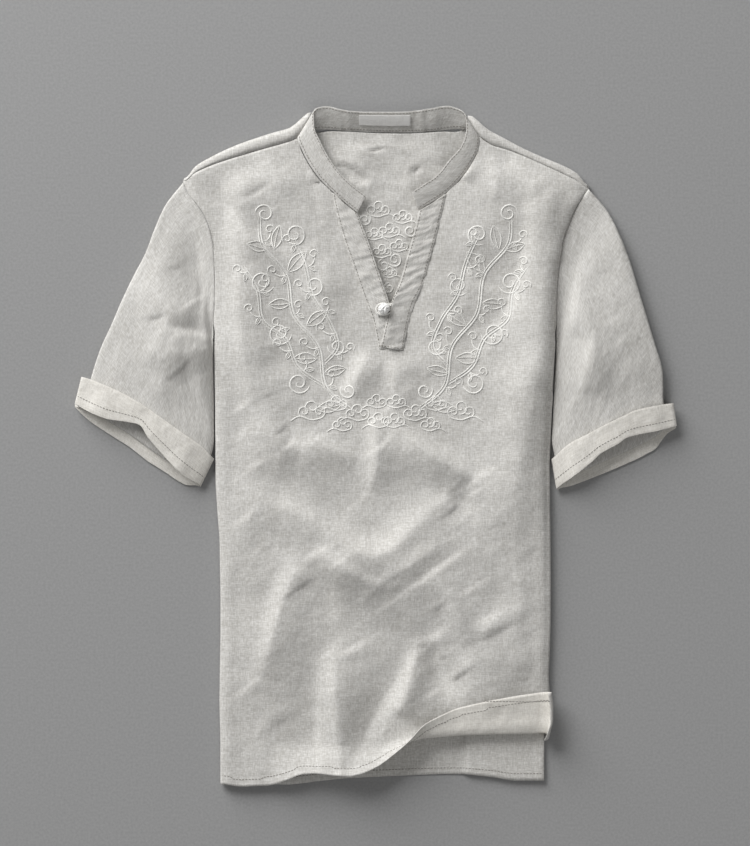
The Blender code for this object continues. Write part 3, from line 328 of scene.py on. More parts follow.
# Creases of the front as lines of points, each with its height and its half width in millimetres; hollows are
# negative. A crease is steeper on the side that faces the upper left.
FRONT_CREASES = (
    (((-173.5, 287.5), (-165.5, 267), (-161.5, 239), (-163.5, 210.5)), -2.4, 8),
    (((-149.5, 271), (-135, 231), (-119, 198.5)), 4.4, 10),
    (((-73.5, 303.5), (-58.5, 279.5), (-51, 255)), 1.7, 5),
    (((-82.5, 295.5), (-68.5, 271), (-58.5, 239)), -1.4, 5),
    (((-92.5, 307.5), (-78.5, 279.5), (-70.5, 255)), 1.4, 6),
    (((111, 315.5), (103, 291.5), (87, 271)), 2.1, 7),
    (((127.5, 307.5), (143.5, 293.5)), -1.7, 6),
    (((79, 271), (71, 239), (63, 198.5)), 1.3, 5),
    (((119.5, 105.5), (139.5, 89.5), (163.5, 73.5)), -2.1, 12),
    (((-111, 105.5), (-99, 69.5)), -2.1, 12),
    (((-2, 99.5), (-12, 85.5), (-20, 69.5), (-22, 49)), 5.2, 8),
    (((-32, 89.5), (-38, 57)), -2.4, 8),
    (((38.5, 89.5), (46.5, 69.5), (63, 49)), -2.4, 8),
    (((16.5, 93.5), (22.5, 73.5), (20.5, 41)), 4.4, 10),
    (((63, 105.5), (79, 89.5), (95, 73.5)), 1.7, 8),
    (((-46.5, 198.5), (-58.5, 158), (-46.5, 122)), 1.7, 7),
    (((-86.5, 198.5), (-74.5, 158)), -1.4, 7),
    (((103, 198.5), (95, 150), (79, 122)), 1.5, 8),
    ((
        (-119, -63), (-92.5, -69), (-70.5, -80), (-46.5, -98), (-24, -112.5), (-2, -118), (18.5, -110),
        (38.5, -89), (56.5, -73), (74, -57.5),
    ), 10.3, 15),
    (((-58.5, -113), (-34, -129.5), (-6, -145.5), (10.5, -150.5)), 4.4, 8.5),
    (((4, -145.5), (30.5, -129.5), (56.5, -113), (67, -105)), 4, 10),
    (((10.5, -172), (38.5, -147.5), (63, -125.5)), -1.2, 11),
    (((-103, -93), (-78.5, -113), (-58.5, -133.5), (-46.5, -161.5)), -3.3, 14),
    (((24.5, 14), (46.5, -2), (71, -18.5), (99, -37.5)), 9.5, 9),
    (((79, -46.5), (91, -57.5), (99, -72)), -3.9, 7.5),
    (((0, 32), (2, 8), (2, -20.5), (-4, -48.5)), 7.5, 9),
    (((-123, 26), (-109, 8), (-97, -2), (-80.5, -5)), 5.5, 9.5),
    (((-76.5, 10), (-58.5, -2), (-38, -10.5), (-20, -15.5)), 4.4, 10),
    (((-78.5, -123.5), (-90.5, -145.5), (-101, -178), (-109, -210), (-119, -242.5)), 8.8, 12),
    (((-62.5, -129.5), (-54.5, -153.5), (-48.5, -186)), -2.9, 10.5),
    (((-117, -275), (-105, -281), (-97, -291)), 1.8, 9),
    (((-42, -225), (-42, -258.5), (-38, -295), (-32, -339.5)), 13, 12),
    (((30.5, -226.5), (10.5, -258.5), (-6, -287), (-18, -315), (-30, -335.5)), -6, 12),
    (((46.5, -210), (38.5, -234.5), (32.5, -258.5), (22.5, -287)), 8.8, 8.5),
    (((51.5, -204), (60.5, -226.5), (73, -250.5), (83, -262.5)), -7, 8),
    (((60.5, -133.5), (79, -161.5), (95, -194), (107, -218)), 6, 8.5),
    (((115.5, -178), (125.5, -198)), 4.4, 12),
    (((151.5, -125.5), (159.5, -178)), 2.1, 12),
    (((-143, -24.5), (-147, -65), (-139, -113)), 2.1, 12),
    (((-151.5, -178), (-155.5, -234.5)), 2.1, 12),
    ((
        (180, 330), (186, 242), (188, 195), (186, 153), (180, 108), (168, 52), (154, -30), (132, -70),
        (108, -100),
    ), 14, 36),
    (((-146, 250), (-142.8, 190), (-139.7, 121.8), (-127, 48.3), (-99, -1)), 7, 16),
    (((105, -196), (140, -222), (165, -238)), 4, 24),
    (((-58, -150), (-50, -120), (-40, -150)), 1.5, 9),
    (((152, 268), (154, 215), (142, 160), (120, 110)), -4.5, 9),
    (((-64, -225), (-66, -285), (-66, -335)), -4.5, 9),
    (((90, 190), (112, 176), (134, 168)), -2.5, 10),
    (((-122, 300), (-106, 284), (-92, 262)), 3.2, 7),
    (((-144, 288), (-132, 262)), 2.4, 6),
    (((120, 304), (128, 280), (124, 254)), 2.8, 7),
    (((148, 298), (160, 280), (172, 262)), 3.2, 7),
    (((96, 304), (90, 276)), 2.2, 6),
    (((-160, 262), (-124, 230), (-84, 200)), -5.5, 9),
)
# The same for the sleeves' upper layers.
SLEEVE_CREASES = (
    (((-252, 200), (-238, 172), (-215.3, 137.6), (-224, 108), (-240, 84)), 5.5, 12.5),
    (((-262, 176), (-254, 140), (-262, 96)), -3.1, 11),
    (((-193, 224), (-188.5, 186), (-185.5, 150), (-188, 128)), -7, 10),
    (((-214.2, 127), (-192, 122.5), (-170.1, 117.6)), -3.9, 5),
    (((-204, 108), (-188, 96), (-178, 78)), 4.3, 10.5),
    (((-204, 96), (-194, 52), (-182, 8)), -6, 13),
    (((-283, 92), (-262, 66)), 2.7, 9),
    (((-226, 70), (-232, 40)), 2.2, 9),
    (((206.5, 247), (203, 226), (199.5, 206)), -4.2, 5.5),
    (((254, 240), (268, 186), (284, 130)), 7, 14),
    (((240, 236), (246, 196), (256, 150)), -3, 11),
    (((232, 122), (225, 92), (217, 54)), 5.5, 10),
    (((212, 150), (208, 112)), 2.7, 9),
    (((300, 100), (276, 78), (256, 66)), 3.6, 12),
    (((190, 60), (192, 20), (194, -14)), -3.1, 6.5),
)
# The same for the back's inside, where the neck shows it.
BACK_CREASES = (
    (((-50, 300), (-22, 309), (12, 313), (52, 310)), 1.6, 9),
    (((-50, 300), (-20, 284), (6, 262)), 1.6, 7),
    (((52, 306), (40, 288), (30, 262)), 1.4, 7),
)
# How much deeper all of them are made, and how high they are at their ends.
CREASE_GAIN = 1.2
CREASE_END = 0.3
# Their widths on the steep side and on the other, where the steep side is, and how soon they blend.
CREASE_SPREAD = (1.0, 2.6)
STEEP_SIDE = (-0.56, 0.83)
STEEP_REACH = 8.0
# Uneven soft relief over all cloth: size in millimetres, height, seed.
CRUMPLES = ((85.0, 2.4, 3.1), (38.0, 1.2, 7.7), (17.0, 0.5, 12.3), (8.0, 0.2, 15.9))
# Thread pitch of the plain weave, as bands in a metre.
THREAD_SCALE = 290.0
# Dark, middle and light tones of the woven cloths.
LINEN = ((0.47, 0.455, 0.425), (0.67, 0.658, 0.632), (0.84, 0.83, 0.81))
CREAM = ((0.62, 0.595, 0.545), (0.78, 0.757, 0.71), (0.90, 0.885, 0.85))
TAPE = ((0.68, 0.67, 0.65), (0.74, 0.73, 0.71), (0.80, 0.79, 0.77))
THREAD = (0.745, 0.733, 0.70)
# The stitching colour below is darker than the sewing thread itself: it paints in the shade of the seam's
# groove and of the stitch holes.
STITCH_AND_GROOVE_SHADE = (0.25, 0.235, 0.21)
KNOT_CORD = (0.86, 0.855, 0.84)
FLOOR_COLOR = (0.30, 0.30, 0.30)

# Generic scrolling vine on each side of the chest, measured out from the middle of the opening.
SPRAYS = 6
# The points and the thread width of each stem.
VINE_STEMS = (
    ((
        (30, 34), (62, 62), (70, 104), (96, 138), (104, 180), (130, 214),
        (132, 244),
    ), 2.2),
    (((62, 62), (92, 84), (104, 112), (128, 132), (134, 164), (150, 190)), 1.9),
    (((66, 84), (50, 104), (58, 130), (76, 158), (84, 190), (98, 222)), 1.9),
)
# x, y, radius, turns, start angle, hand
VINE_SCROLLS = (
    (128, 244, 9, 1.5, 0, 1), (96, 222, 11, 1.6, 300, -1),
    (130, 172, 12, 1.7, 200, 1), (76, 168, 10, 1.5, 320, -1),
    (112, 118, 12, 1.7, 180, 1), (52, 104, 9, 1.5, 10, -1),
    (92, 66, 11, 1.6, 190, 1), (40, 58, 8, 1.4, 30, -1),
)
# x1, y1, x2, y2, fatness
VINE_LEAVES = (
    (104, 182, 84, 204, 0.22), (100, 150, 124, 148, 0.22), (84, 126, 62, 142, 0.22),
    (72, 92, 98, 92, 0.22), (66, 76, 42, 82, 0.2), (124, 206, 146, 212, 0.22),
    (118, 206, 112, 232, 0.2), (46, 44, 74, 38, 0.2),
)
# x, y, size
VINE_CLOUDS = (
    (78, 36, 14), (52, 44, 11), (30, 34, 12), (10, 46, 10), (8, 26, 11),
    (46, 22, 10),
)
# The same kind of work on the back's inside, seen through the opening: x, y, size and x, y, radius, turns,
# start angle, hand
BACK_CLOUDS = (
    (2, 248, 12), (28, 240, 10), (14, 226, 11), (-2, 222, 9), (24, 210, 9),
    (6, 204, 10), (14, 182, 8),
)
BACK_SCROLLS = (
    (20, 196, 7, 1.6, 200, 1), (36, 226, 6, 1.5, 40, -1),
    (-12, 238, 6, 1.5, 40, -1), (8, 190, 6, 1.4, 90, 1), (14, 166, 5, 1.4, 90, 1),
)
# A cloud head's scrolls: x, y and radius as shares of its size, start angle, hand on the right side.
CLOUD_SCROLLS = ((-0.55, 0.0, 0.42, 270, -1), (0.0, 0.34, 0.5, 250, 1), (0.6, 0.0, 0.4, 270, 1))
# Its tail, from its middle and as shares of its size.
CLOUD_TAIL = ((-0.9, -0.42), (0.0, -0.62), (1.0, -0.36), (1.7, -0.75))
# Angles over the visible half of a thread.
HALF_TURN = [math.pi * turn / 4 for turn in range(5)]
THREAD_HEIGHT = 0.8
THREAD_SPACING = 1.6
# Share of a thread's length from its nearer end, and its width there.
THREAD_TAPER = ((0.0, 0.06, 0.2), (0.25, 0.8, 1.0))
# Height from which the thread work is dropped on the cloth.
DROP_HEIGHT = 60.0

# Stitching: sizes of a stitch, distance from the hem's edge, and rows or columns of dense grids with a seam.
STITCH_STEP = 3.4
STITCH_LENGTH = 2.9
STITCH_WIDTH = 1.0
STITCH_HEIGHT = 0.36
# Share of a stitch's length, and its width there.
STITCH_RINGS = ((0.0, 0.0), (0.15, 0.85), (0.5, 1.0), (0.85, 0.85), (1.0, 0.0))
HEM_BAND = 9.5
CUFF_SEAM_ROW = 7
PLACKET_SEAMS = (1, 11)
# Columns beside the back's middle that the shoulder stitches leave out.
STRIP_GAP = 20

# The knot's rings, as lean and swing in degrees, its sizes, and the share of its tail that is shown.
KNOT_TILTS = ((0.0, 0.0), (90.0, 0.0), (90.0, 90.0), (55.0, 45.0))
KNOT_STEM_SHARE = 0.7
KNOT_PLACE_Z = 16.0
KNOT_BALL = 4.6
KNOT_CORD_RADIUS = 1.35
# The photograph's middle in the tables' frame, and the width that it shows at the cloth.
PHOTO_MIDDLE = (-1.05, 24.15)
PHOTO_WIDTH = 787.5
CAMERA_HEIGHT = 3.0
# name, place, size and power of each light
LIGHTS = (
    ("key", (-2.4, 3.35, 2.0), 3.4, 338.0),
    ("fill", (1.0, -1.5, 2.4), 2.4, 15.0),
)
SKY = 0.18


def smooth(t):
    """0 to 1 with level ends."""
    t = np.clip(t, 0.0, 1.0)
    return t * t * (3.0 - 2.0 * t)


def rising(value, start, width):
    """0 up to the start and 1 from a width past it."""
    return smooth((value - start) / width)


def run_of(line):
    """Lengths of a polyline's steps, and the length run at each of its points."""
    lengths = np.linalg.norm(np.diff(line, axis=0), axis=1)
    return lengths, np.concatenate([[0.0], np.cumsum(lengths)])


def along(line, count):
    """A polyline sampled at evenly spaced points."""
    line = np.array(line, float)
    _, run = run_of(line)
    stations = np.linspace(0.0, run[-1], count)
    return np.stack([np.interp(stations, run, line[:, k]) for k in range(line.shape[1])], axis=1)


def column(table, index):
    """One column of a table."""
    return np.array([row[index] for row in table], float)


def looked_up(table, place, index=1):
    """A column's value at a place in the table's first column."""
    return np.interp(place, column(table, 0), column(table, index))


def unit(vector):
    """The same direction with length 1."""
    return vector / np.linalg.norm(vector)


def world(points):
    """Table millimetres to the frame's metres."""
    placed = np.array(points, float)[..., :3]
    placed[..., :2] -= BOX_MIDDLE
    return placed * MM


def spans(points, counts):
    """Smooth spans through control points along the first axis, with counts[k] cells in span k."""
    gaps = np.linalg.norm(np.diff(points[..., :3], axis=0), axis=-1, keepdims=True)
    gaps = np.maximum(gaps, 0.05)
    slopes = np.diff(points, axis=0) / gaps
    tangents = np.empty_like(points)
    tangents[0], tangents[-1] = slopes[0], slopes[-1]
    tangents[1:-1] = (slopes[:-1] * gaps[1:] + slopes[1:] * gaps[:-1]) / (gaps[:-1] + gaps[1:])
    made = []
    for k, count in enumerate(counts):
        t = (np.arange(count) / count).reshape((-1,) + (1,) * (points.ndim - 1))
        rise = smooth(t)
        first = t * (1 - t) ** 2 * gaps[k] * tangents[k]
        second = t * t * (t - 1) * gaps[k] * tangents[k + 1]
        made.append(points[k] * (1 - rise) + points[k + 1] * rise + first + second)
    made.append(points[-1:])
    return np.concatenate(made)


def dense_grid(control, row_cells, column_cells, closed=False, lowest=LOWEST):
    """Spans down and across a control grid, kept above what they lie on; closed joins its last column."""
    lines = np.swapaxes(spans(control, row_cells), 0, 1)
    if closed:
        lines = np.concatenate([lines[-1:], lines, lines[:2]])
        made = spans(lines, [1, *column_cells, 1])[1:-2]
    else:
        made = spans(lines, column_cells)
    made[..., 2] = np.maximum(made[..., 2], lowest)
    return np.swapaxes(made, 0, 1)


def cells_for(points, axis, closed=False, cell=CELL, most=12):
    """Cells of each span so that the longest line there has cells of about the given size."""
    steps = np.diff(points[..., :3], axis=axis)
    if closed:
        steps = np.concatenate([steps, points[:, :1, :3] - points[:, -1:, :3]], axis=1)
    longest = np.percentile(np.linalg.norm(steps, axis=-1), 80, axis=1 - axis)
    return [int(n) for n in np.clip(np.ceil(longest / cell), 1, most)]


def normals_of(points, closed=False):
    """Unit normals of a dense grid, up where the cloth lies face up."""
    xyz = points[..., :3]
    down = np.gradient(xyz, axis=0)
    if closed:
        sideways = (np.roll(xyz, -1, axis=1) - np.roll(xyz, 1, axis=1)) / 2
    else:
        sideways = np.gradient(xyz, axis=1)
    normal = np.cross(sideways, -down)
    return normal / np.maximum(np.linalg.norm(normal, axis=-1, keepdims=True), 1e-9)


def run_lengths(points, axis):
    """Length of cloth from the first line of a dense grid."""
    steps = np.linalg.norm(np.diff(points[..., :3], axis=axis), axis=-1)
    zero = np.zeros_like(np.take(steps, [0], axis=axis))
    return np.concatenate([zero, np.cumsum(steps, axis=axis)], axis=axis)


def crease_field(table, x, y):
    """Sum of the listed ridges and hollows, each steeper on the side that faces STEEP_SIDE."""
    total = np.zeros_like(x)
    for line, height, width in table:
        line = np.array(line, float)
        lengths, run = run_of(line)
        best = np.full(x.shape, np.inf)
        share = np.zeros_like(x)
        wide = np.ones_like(x)
        for k, (start, end) in enumerate(zip(line[:-1], line[1:])):
            step = end - start
            dx, dy = x - start[0], y - start[1]
            s = np.clip((dx * step[0] + dy * step[1]) / (step @ step), 0.0, 1.0)
            off_x, off_y = dx - s * step[0], dy - s * step[1]
            away = np.hypot(off_x, off_y)
            near = away < best
            facing = math.copysign(1.0, height) * (off_x * STEEP_SIDE[0] + off_y * STEEP_SIDE[1])
            steep = smooth(0.5 + facing / STEEP_REACH)
            side_width = width * (CREASE_SPREAD[1] + (CREASE_SPREAD[0] - CREASE_SPREAD[1]) * steep)
            best = np.where(near, away, best)
            wide = np.where(near, side_width, wide)
            share = np.where(near, (run[k] + s * lengths[k]) / run[-1], share)
        taper = CREASE_END + (1 - CREASE_END) * np.sin(np.pi * np.clip(share, 0.0, 1.0))
        total += height * taper * np.exp(-((best / wide) ** 1.7))
    return total * CREASE_GAIN


def crumple(x, y, size, seed):
    """Soft uneven relief from -1 to 1, the same on every run."""
    flat = np.stack([x.ravel() / size, y.ravel() / size], axis=1)
    values = [noise.noise(Vector((a, b, seed))) for a, b in flat]
    return np.array(values).reshape(x.shape)


def relief_of(table, x, y, shift=0.0):
    """A table's creases with the uneven relief of all cloth over them."""
    relief = crease_field(table, x, y)
    for size, height, seed in CRUMPLES:
        relief = relief + height * crumple(x, y, size, seed + shift)
    return relief


def side_x(side, y):
    """The body's outline below the armhole."""
    return np.interp(-y, -column(SIDES, 0), column(SIDES, 1 if side < 0 else 2))


def tuck_width(y):
    """How far the front and back go under the body, from the armpit down."""
    return TUCK_START + (TUCK - TUCK_START) * smooth((SIDES[0][0] - y) / TUCK_GROWTH)


def shoulder_roll(side, x):
    """Radius of the roll over the shoulder, from the neck to the sleeve."""
    over, under = [
        np.interp(side * x, side * column(line[side], 0), column(line[side], 1)) for line in (SHOULDER, SEAM)
    ]
    return np.clip(0.6 * (over - under), 2.2, (FRONT_Z - BACK_Z) / 2)


def from_middle(middle, side, k):
    """Column of the k-th point from the front's middle toward one side."""
    return middle - 1 - k if side < 0 else middle + k


def half_front(side):
    """Rows of the front's half: edge, middle and seam of the placket, and the outer edge."""
    neck = np.array(NECK[side])[:, :2]
    armhole = np.array(ARMHOLE[side])
    rows = [(neck[i], neck[i], neck[i], armhole[i]) for i in range(NECK_ROWS)]
    rows.append((neck[6], neck[5], neck[NECK_ROWS], armhole[NECK_ROWS]))
    for k, row in enumerate(OPENING[side], NECK_ROWS + 1):
        edge, seam = np.array(row[:2]), np.array(row[2:])
        if k <= ARMPIT_ROW:
            outer = armhole[k]
        else:
            y = armhole[ARMPIT_ROW][1] - (k - ARMPIT_ROW) * ROW_STEP
            outer = np.array([side_x(side, y), y])
        rows.append((edge, (edge + seam) / 2, seam, outer))
    return rows


def roll_of_row(i):
    """Turn of the side edge at a row, in radians: level, then all the way under."""
    return 0.0 if i < LEVEL_ROWS else math.radians(SIDE_TURNS.get(i, 180.0))


def hem_row(x):
    """The hem's bend_y, turn_length, rest_length and angle at a place across."""
    return [float(looked_up(HEM_TURN, x, k)) for k in range(1, 5)]


def turned(x, beyond, normal):
    """Place of a point beyond the hem's bend: its y and its height over the bend."""
    bend_y, turn_length, _, degrees = hem_row(x)
    angle = math.radians(degrees)
    if angle < 0.01:
        return bend_y - beyond, normal
    radius = turn_length / angle
    turn = min(beyond / radius, angle)
    rest = max(beyond - turn_length, 0.0)
    y = bend_y - (radius - normal) * math.sin(turn) - rest * math.cos(turn)
    return y, radius - (radius - normal) * math.cos(turn) + rest * math.sin(turn)


def edge_points(side, row, x, y, z):
    """Start of the side roll, and its points with the end of the part folded under."""
    turn = roll_of_row(row)
    if turn == 0.0:
        return x, [(x, y, z)] * (ROLL_CELLS + 2)
    start = x - side * (SIDE_ROLL + CLOTH / 2) * math.sin(min(turn, math.pi / 2))
    points = []
    for k in range(ROLL_CELLS + 1):
        a = turn * k / ROLL_CELLS
        points.append((start + side * SIDE_ROLL * math.sin(a), y, z - SIDE_ROLL * (1 - math.cos(a))))
    points.append((x - side * tuck_width(y), y, BACK_Z))
    return start, points


def calm_at(side_gap, opening_gap, top_gap):
    """How freely the cloth may crease: 0 at the sides, the opening and the shoulder, 1 inside."""
    return smooth(side_gap / SIDE_CALM) * rising(opening_gap, *OPENING_CALM) * smooth(top_gap / TOP_CALM)


def front_control():
    """Rows of x, y, z and calm from the shoulder to the hem, the cells kept, and the middle columns."""
    halves = {side: half_front(side) for side in (-1, 1)}
    upper = len(halves[-1])
    inner = PLACKET_CELLS + CHEST_CELLS + 1
    columns = 2 * (inner + ROLL_CELLS + 1)
    rows = upper + LOWER_ROWS + TURN_ROWS + REST_ROWS
    points = np.zeros((rows, columns, 4))
    keep = np.ones((rows - 1, columns - 1), bool)
    middle = columns // 2

    def place(side, i, k, point, calm=0.0):
        points[i, from_middle(middle, side, k)] = (*point, calm)

    def drop(side, x, fade):
        """How far the front lies lower beside the shoulder seam."""
        return (FRONT_Z - (BACK_Z + 2 * shoulder_roll(side, x))) * fade

    def upper_row(side, i, edge, half, seam, outer):
        fade = SHOULDER_FADE[i] if i < len(SHOULDER_FADE) else 0.0
        start, edge_run = edge_points(side, i, *outer, FRONT_Z)
        first = np.array([start, outer[1]])
        chest = [seam + (first - seam) * k / CHEST_CELLS for k in range(CHEST_CELLS + 1)]
        if i == 0:
            chest = list(along(SEAM[side], CHEST_CELLS + 1))
        elif i < NECK_ROWS:
            peak = NECK_BOW * (1 - i / NECK_ROWS)
            bow = np.interp(np.linspace(0, 1, CHEST_CELLS + 1), [0, 0.5, 1], [0, peak, 0])
            chest = [p + np.array([0.0, b]) for p, b in zip(chest, bow)]
        for k, (x, y) in enumerate([edge, half] + chest):
            gap_opening = abs(x - seam[0]) if i > 0 else 0.0
            calm = calm_at(abs(outer[0] - x), gap_opening, ROW_STEP * i)
            place(side, i, k, (x, y, FRONT_Z - drop(side, x, fade) + CHEST_RISE * calm), calm)
        for k, (x, y, z) in enumerate(edge_run[1:]):
            lower = drop(side, outer[0], fade) if roll_of_row(i) == 0.0 else 0.0
            place(side, i, inner + k, (x, y, z - lower))

    for side in (-1, 1):
        for i, row in enumerate(halves[side]):
            upper_row(side, i, *row)

    last = upper - 1

    def lower_row(side, i, share):
        even = smooth(share / EVEN_SHARE)
        edge_y = points[last, from_middle(middle, side, inner - 1), 1]
        y_side = edge_y + (hem_row(side_x(side, HEM_SIDE_Y))[0] - edge_y) * share
        start, edge_run = edge_points(side, ARMPIT_ROW + 1, side_x(side, y_side), y_side, FRONT_Z)
        other = side_x(-side, y_side) + side * (SIDE_ROLL + CLOTH / 2)
        for k in range(inner):
            top = points[last, from_middle(middle, side, k)]
            x_even = start + (other - start) * (inner - 1 - k) / (2 * inner - 1)
            x = start if k == inner - 1 else top[0] + (x_even - top[0]) * even
            y = top[1] + (hem_row(x)[0] - top[1]) * share
            foot = OPENING_FOOT * smooth((OPENING[-1][-1][1] - y) / OPENING_FOOT)
            calm = calm_at(abs(start - x), foot + abs(x - OPENING_MIDDLE), FREE)
            place(side, i, k, (x, y, FRONT_Z + CHEST_RISE * calm), calm)
        for k, point in enumerate(edge_run[1:]):
            place(side, i, inner + k, point)

    for r in range(1, LOWER_ROWS + 1):
        for side in (-1, 1):
            lower_row(side, last + r, r / LOWER_ROWS)

    base = last + LOWER_ROWS
    for r in range(1, TURN_ROWS + REST_ROWS + 1):
        for j in range(columns):
            x, y, z, calm = points[base, j]
            lip_x, _, lip_z, _ = points[base, min(max(j, ROLL_CELLS + 1), columns - 2 - ROLL_CELLS)]
            _, turn_length, rest_length, _ = hem_row(lip_x)
            beyond = turn_length * min(r / TURN_ROWS, 1.0)
            beyond += rest_length * max(r - TURN_ROWS, 0) / REST_ROWS
            new_y, up = turned(lip_x, beyond, z - lip_z)
            points[base + r, j] = (x, new_y, lip_z + up, calm)

    keep[:NECK_ROWS, middle - 1 - PLACKET_CELLS : middle + PLACKET_CELLS] = False
    keep[NECK_ROWS : NECK_ROWS + 5, middle - 1] = False
    keep[: LEVEL_ROWS - 1, : ROLL_CELLS + 1] = False
    keep[: LEVEL_ROWS - 1, -(ROLL_CELLS + 1) :] = False
    keep[:ARMPIT_ROW, [0, -1]] = False
    keep[base - 2 :, -1] = False
    return points, keep, middle, inner


def back_floor_z(side, x, y):
    """Height of the back: on the board, and rising to the tucked sides below the armpit."""
    ready = sum(weight * rising(-y, -top, length) for weight, top, length in BACK_RISE)
    level = min(y, SIDES[0][0])
    inner_x = abs(side_x(side, level)) - tuck_width(level)
    share = smooth((side * x - (inner_x - 10.0 - TUCK_RAMP)) / TUCK_RAMP)
    return BACK_Z + (TUCK_BACK_Z - BACK_Z) * share * ready


def back_control(front, middle):
    """Rows of the back from the forward shoulder seam over the roll to the hem, and the cells kept."""
    cells = CHEST_CELLS
    columns = 2 * (cells + HAIRPIN_CELLS + 2) + NECK_COLUMNS
    lower_y = SIDES[0][0] - np.array(BACK_ROWS)
    first_main = SHOULDER_ROWS
    rows = first_main + 1 + ARMPIT_ROW + len(lower_y) + 2
    points = np.zeros((rows, columns, 4))
    keep = np.ones((rows - 1, columns - 1), bool)

    def index(side, k):
        """Column of the k-th point from the neck toward one side."""
        return HAIRPIN_CELLS + 1 + cells - k if side < 0 else columns - 1 - (HAIRPIN_CELLS + 1 + cells) + k

    def place(side, i, k, x, y):
        points[i, index(side, k), :3] = (x, y, back_floor_z(side, x, y))

    for side in (-1, 1):
        top_line = along(SHOULDER[side], cells + 1)
        top_line[0] = STRIP_ENDS[side]
        for k, top in enumerate(top_line):
            seam = front[0, from_middle(middle, side, PLACKET_CELLS + k)]
            deep = (seam[2] - BACK_Z) / 2
            seam_y = seam[1] + SEAM_GAP
            reach = min(deep, 0.85 * (top[1] - seam_y))
            points[0, index(side, k), :3] = (seam[0], seam_y, seam[2])
            for r in range(1, SHOULDER_ROWS + 1):
                angle = math.pi * (1 - r / SHOULDER_ROWS)
                level = BACK_Z + deep * (1 - math.cos(angle)) * (STRIP_END_SINK if k == 0 else 1.0)
                points[r, index(side, k), :3] = (top[0], top[1] - reach * (1 - math.sin(angle)), level)
        neck_x, neck_y = points[first_main, index(side, 0), :2]
        for i in range(1, ARMPIT_ROW + 1):
            outer_x, outer_y = ARMHOLE[side][i]
            inner_y = neck_y + (outer_y - neck_y) * (i / ARMPIT_ROW) ** 0.8
            shrink = BACK_INSET * np.clip((i - ARMPIT_ROW + 2) / 2, 0, 1)
            for k in range(cells + 1):
                share = k / cells
                x = neck_x + (outer_x - side * shrink - neck_x) * share
                y = inner_y + (outer_y - inner_y) * share ** (1.0 + 0.5 * (1 - i / ARMPIT_ROW))
                place(side, first_main + i, k, x, y)
        for i, y in enumerate(lower_y, first_main + ARMPIT_ROW + 1):
            edge = side_x(side, y) - side * BACK_INSET
            if side > 0:
                width, top, length = BACK_RIGHT_INSET
                edge -= width * rising(-y, -top, length)
            for k in range(cells + 1):
                place(side, i, k, neck_x + (edge - neck_x) * k / cells, y)
        for r in (1, 2):
            for k in range(cells + 1):
                x, y, z, _ = points[rows - 3, index(side, k)]
                hem = looked_up(BACK_HEM, x)
                points[rows - 3 + r, index(side, k), :3] = (x, y + (hem - y) * r / 2, z)

    left, right = index(-1, 0), index(1, 0)
    ends = points[first_main, [left, right]]
    hem_share = np.maximum(np.arange(rows) - rows + 3, 0) / 2
    neck_edge = along([row[:2] for row in NECK_BACK[1:-1]], NECK_COLUMNS)
    for j, (neck_x, neck_y) in enumerate(neck_edge, left + 1):
        share = (neck_x - ends[0, 0]) / (ends[1, 0] - ends[0, 0])
        gap = neck_y - (ends[0, 1] * (1 - share) + ends[1, 1] * share)
        y = points[:, left, 1] * (1 - share) + points[:, right, 1] * share
        y += gap * (1 - rising(np.arange(rows), first_main, 4.0))
        y[: first_main + 1] = neck_y
        y[-2:] = lower_y[-1] + (looked_up(BACK_HEM, neck_x) - lower_y[-1]) * hem_share[-2:]
        points[:, j, :3] = np.column_stack([np.full(rows, neck_x), y, np.full(rows, BACK_Z)])

    under_r = (TUCK_BACK_Z - TUCK_UNDER_Z) / 2
    for side in (-1, 1):
        x, y, z, _ = points[:, index(side, cells)].T
        for k in range(1, HAIRPIN_CELLS + 1):
            a = math.pi * k / HAIRPIN_CELLS
            over = [x + side * under_r * math.sin(a), y, z - under_r * (1 - math.cos(a))]
            points[:, index(side, cells + k), :3] = np.column_stack(over)
        edge = side_x(side, y)
        end = edge - side * np.minimum(tuck_width(y), abs(edge) - TUCK_LIMIT)
        under = [end, y + UNDER_HEM_RISE * hem_share, z - 2 * under_r]
        points[:, index(side, cells + HAIRPIN_CELLS + 1), :3] = np.column_stack(under)
    keep[:first_main, left:right] = False
    keep[: first_main + ARMPIT_ROW, : HAIRPIN_CELLS + 1] = False
    keep[: first_main + ARMPIT_ROW, -(HAIRPIN_CELLS + 1) :] = False
    return points, keep


def closed_ring(upper, upper_z, lower, lower_z, inset_start=0.0, inset_end=0.0):
    """Upper layer, underarm roll, lower layer back again, outer roll."""
    stations = np.linspace(0, 1, len(upper))

    def pulled(line):
        """The line drawn in at both ends to leave room for the rolls."""
        length = np.linalg.norm(line[-1] - line[0])
        start = (upper_z[0] - lower_z[0]) / 2 * 0.9 + inset_start
        end = (upper_z[-1] - lower_z[-1]) / 2 * 0.9 + inset_end
        new = start / length + stations * (1 - (start + end) / length)
        return np.stack([np.interp(new, stations, line[:, k]) for k in range(2)], axis=1)

    def roll(a, za, b, zb, outward):
        """Two points of the half turn from a to b."""
        radius = (za - zb) / 2
        for turn in (math.pi / 3, 2 * math.pi / 3):
            share = (1 - math.cos(turn)) / 2
            place = a + (b - a) * share + outward * radius * math.sin(turn)
            yield (*place, za + (zb - za) * share)

    upper, lower = pulled(upper), pulled(lower)
    ring = [(*p, z) for p, z in zip(upper, upper_z)]
    ring += roll(upper[-1], upper_z[-1], lower[-1], lower_z[-1], unit(upper[-1] - upper[-2]))
    ring += [(*p, z) for p, z in zip(lower[::-1], lower_z[::-1])]
    ring += roll(lower[0], lower_z[0], upper[0], upper_z[0], unit(upper[0] - upper[1]))
    return np.array(ring)


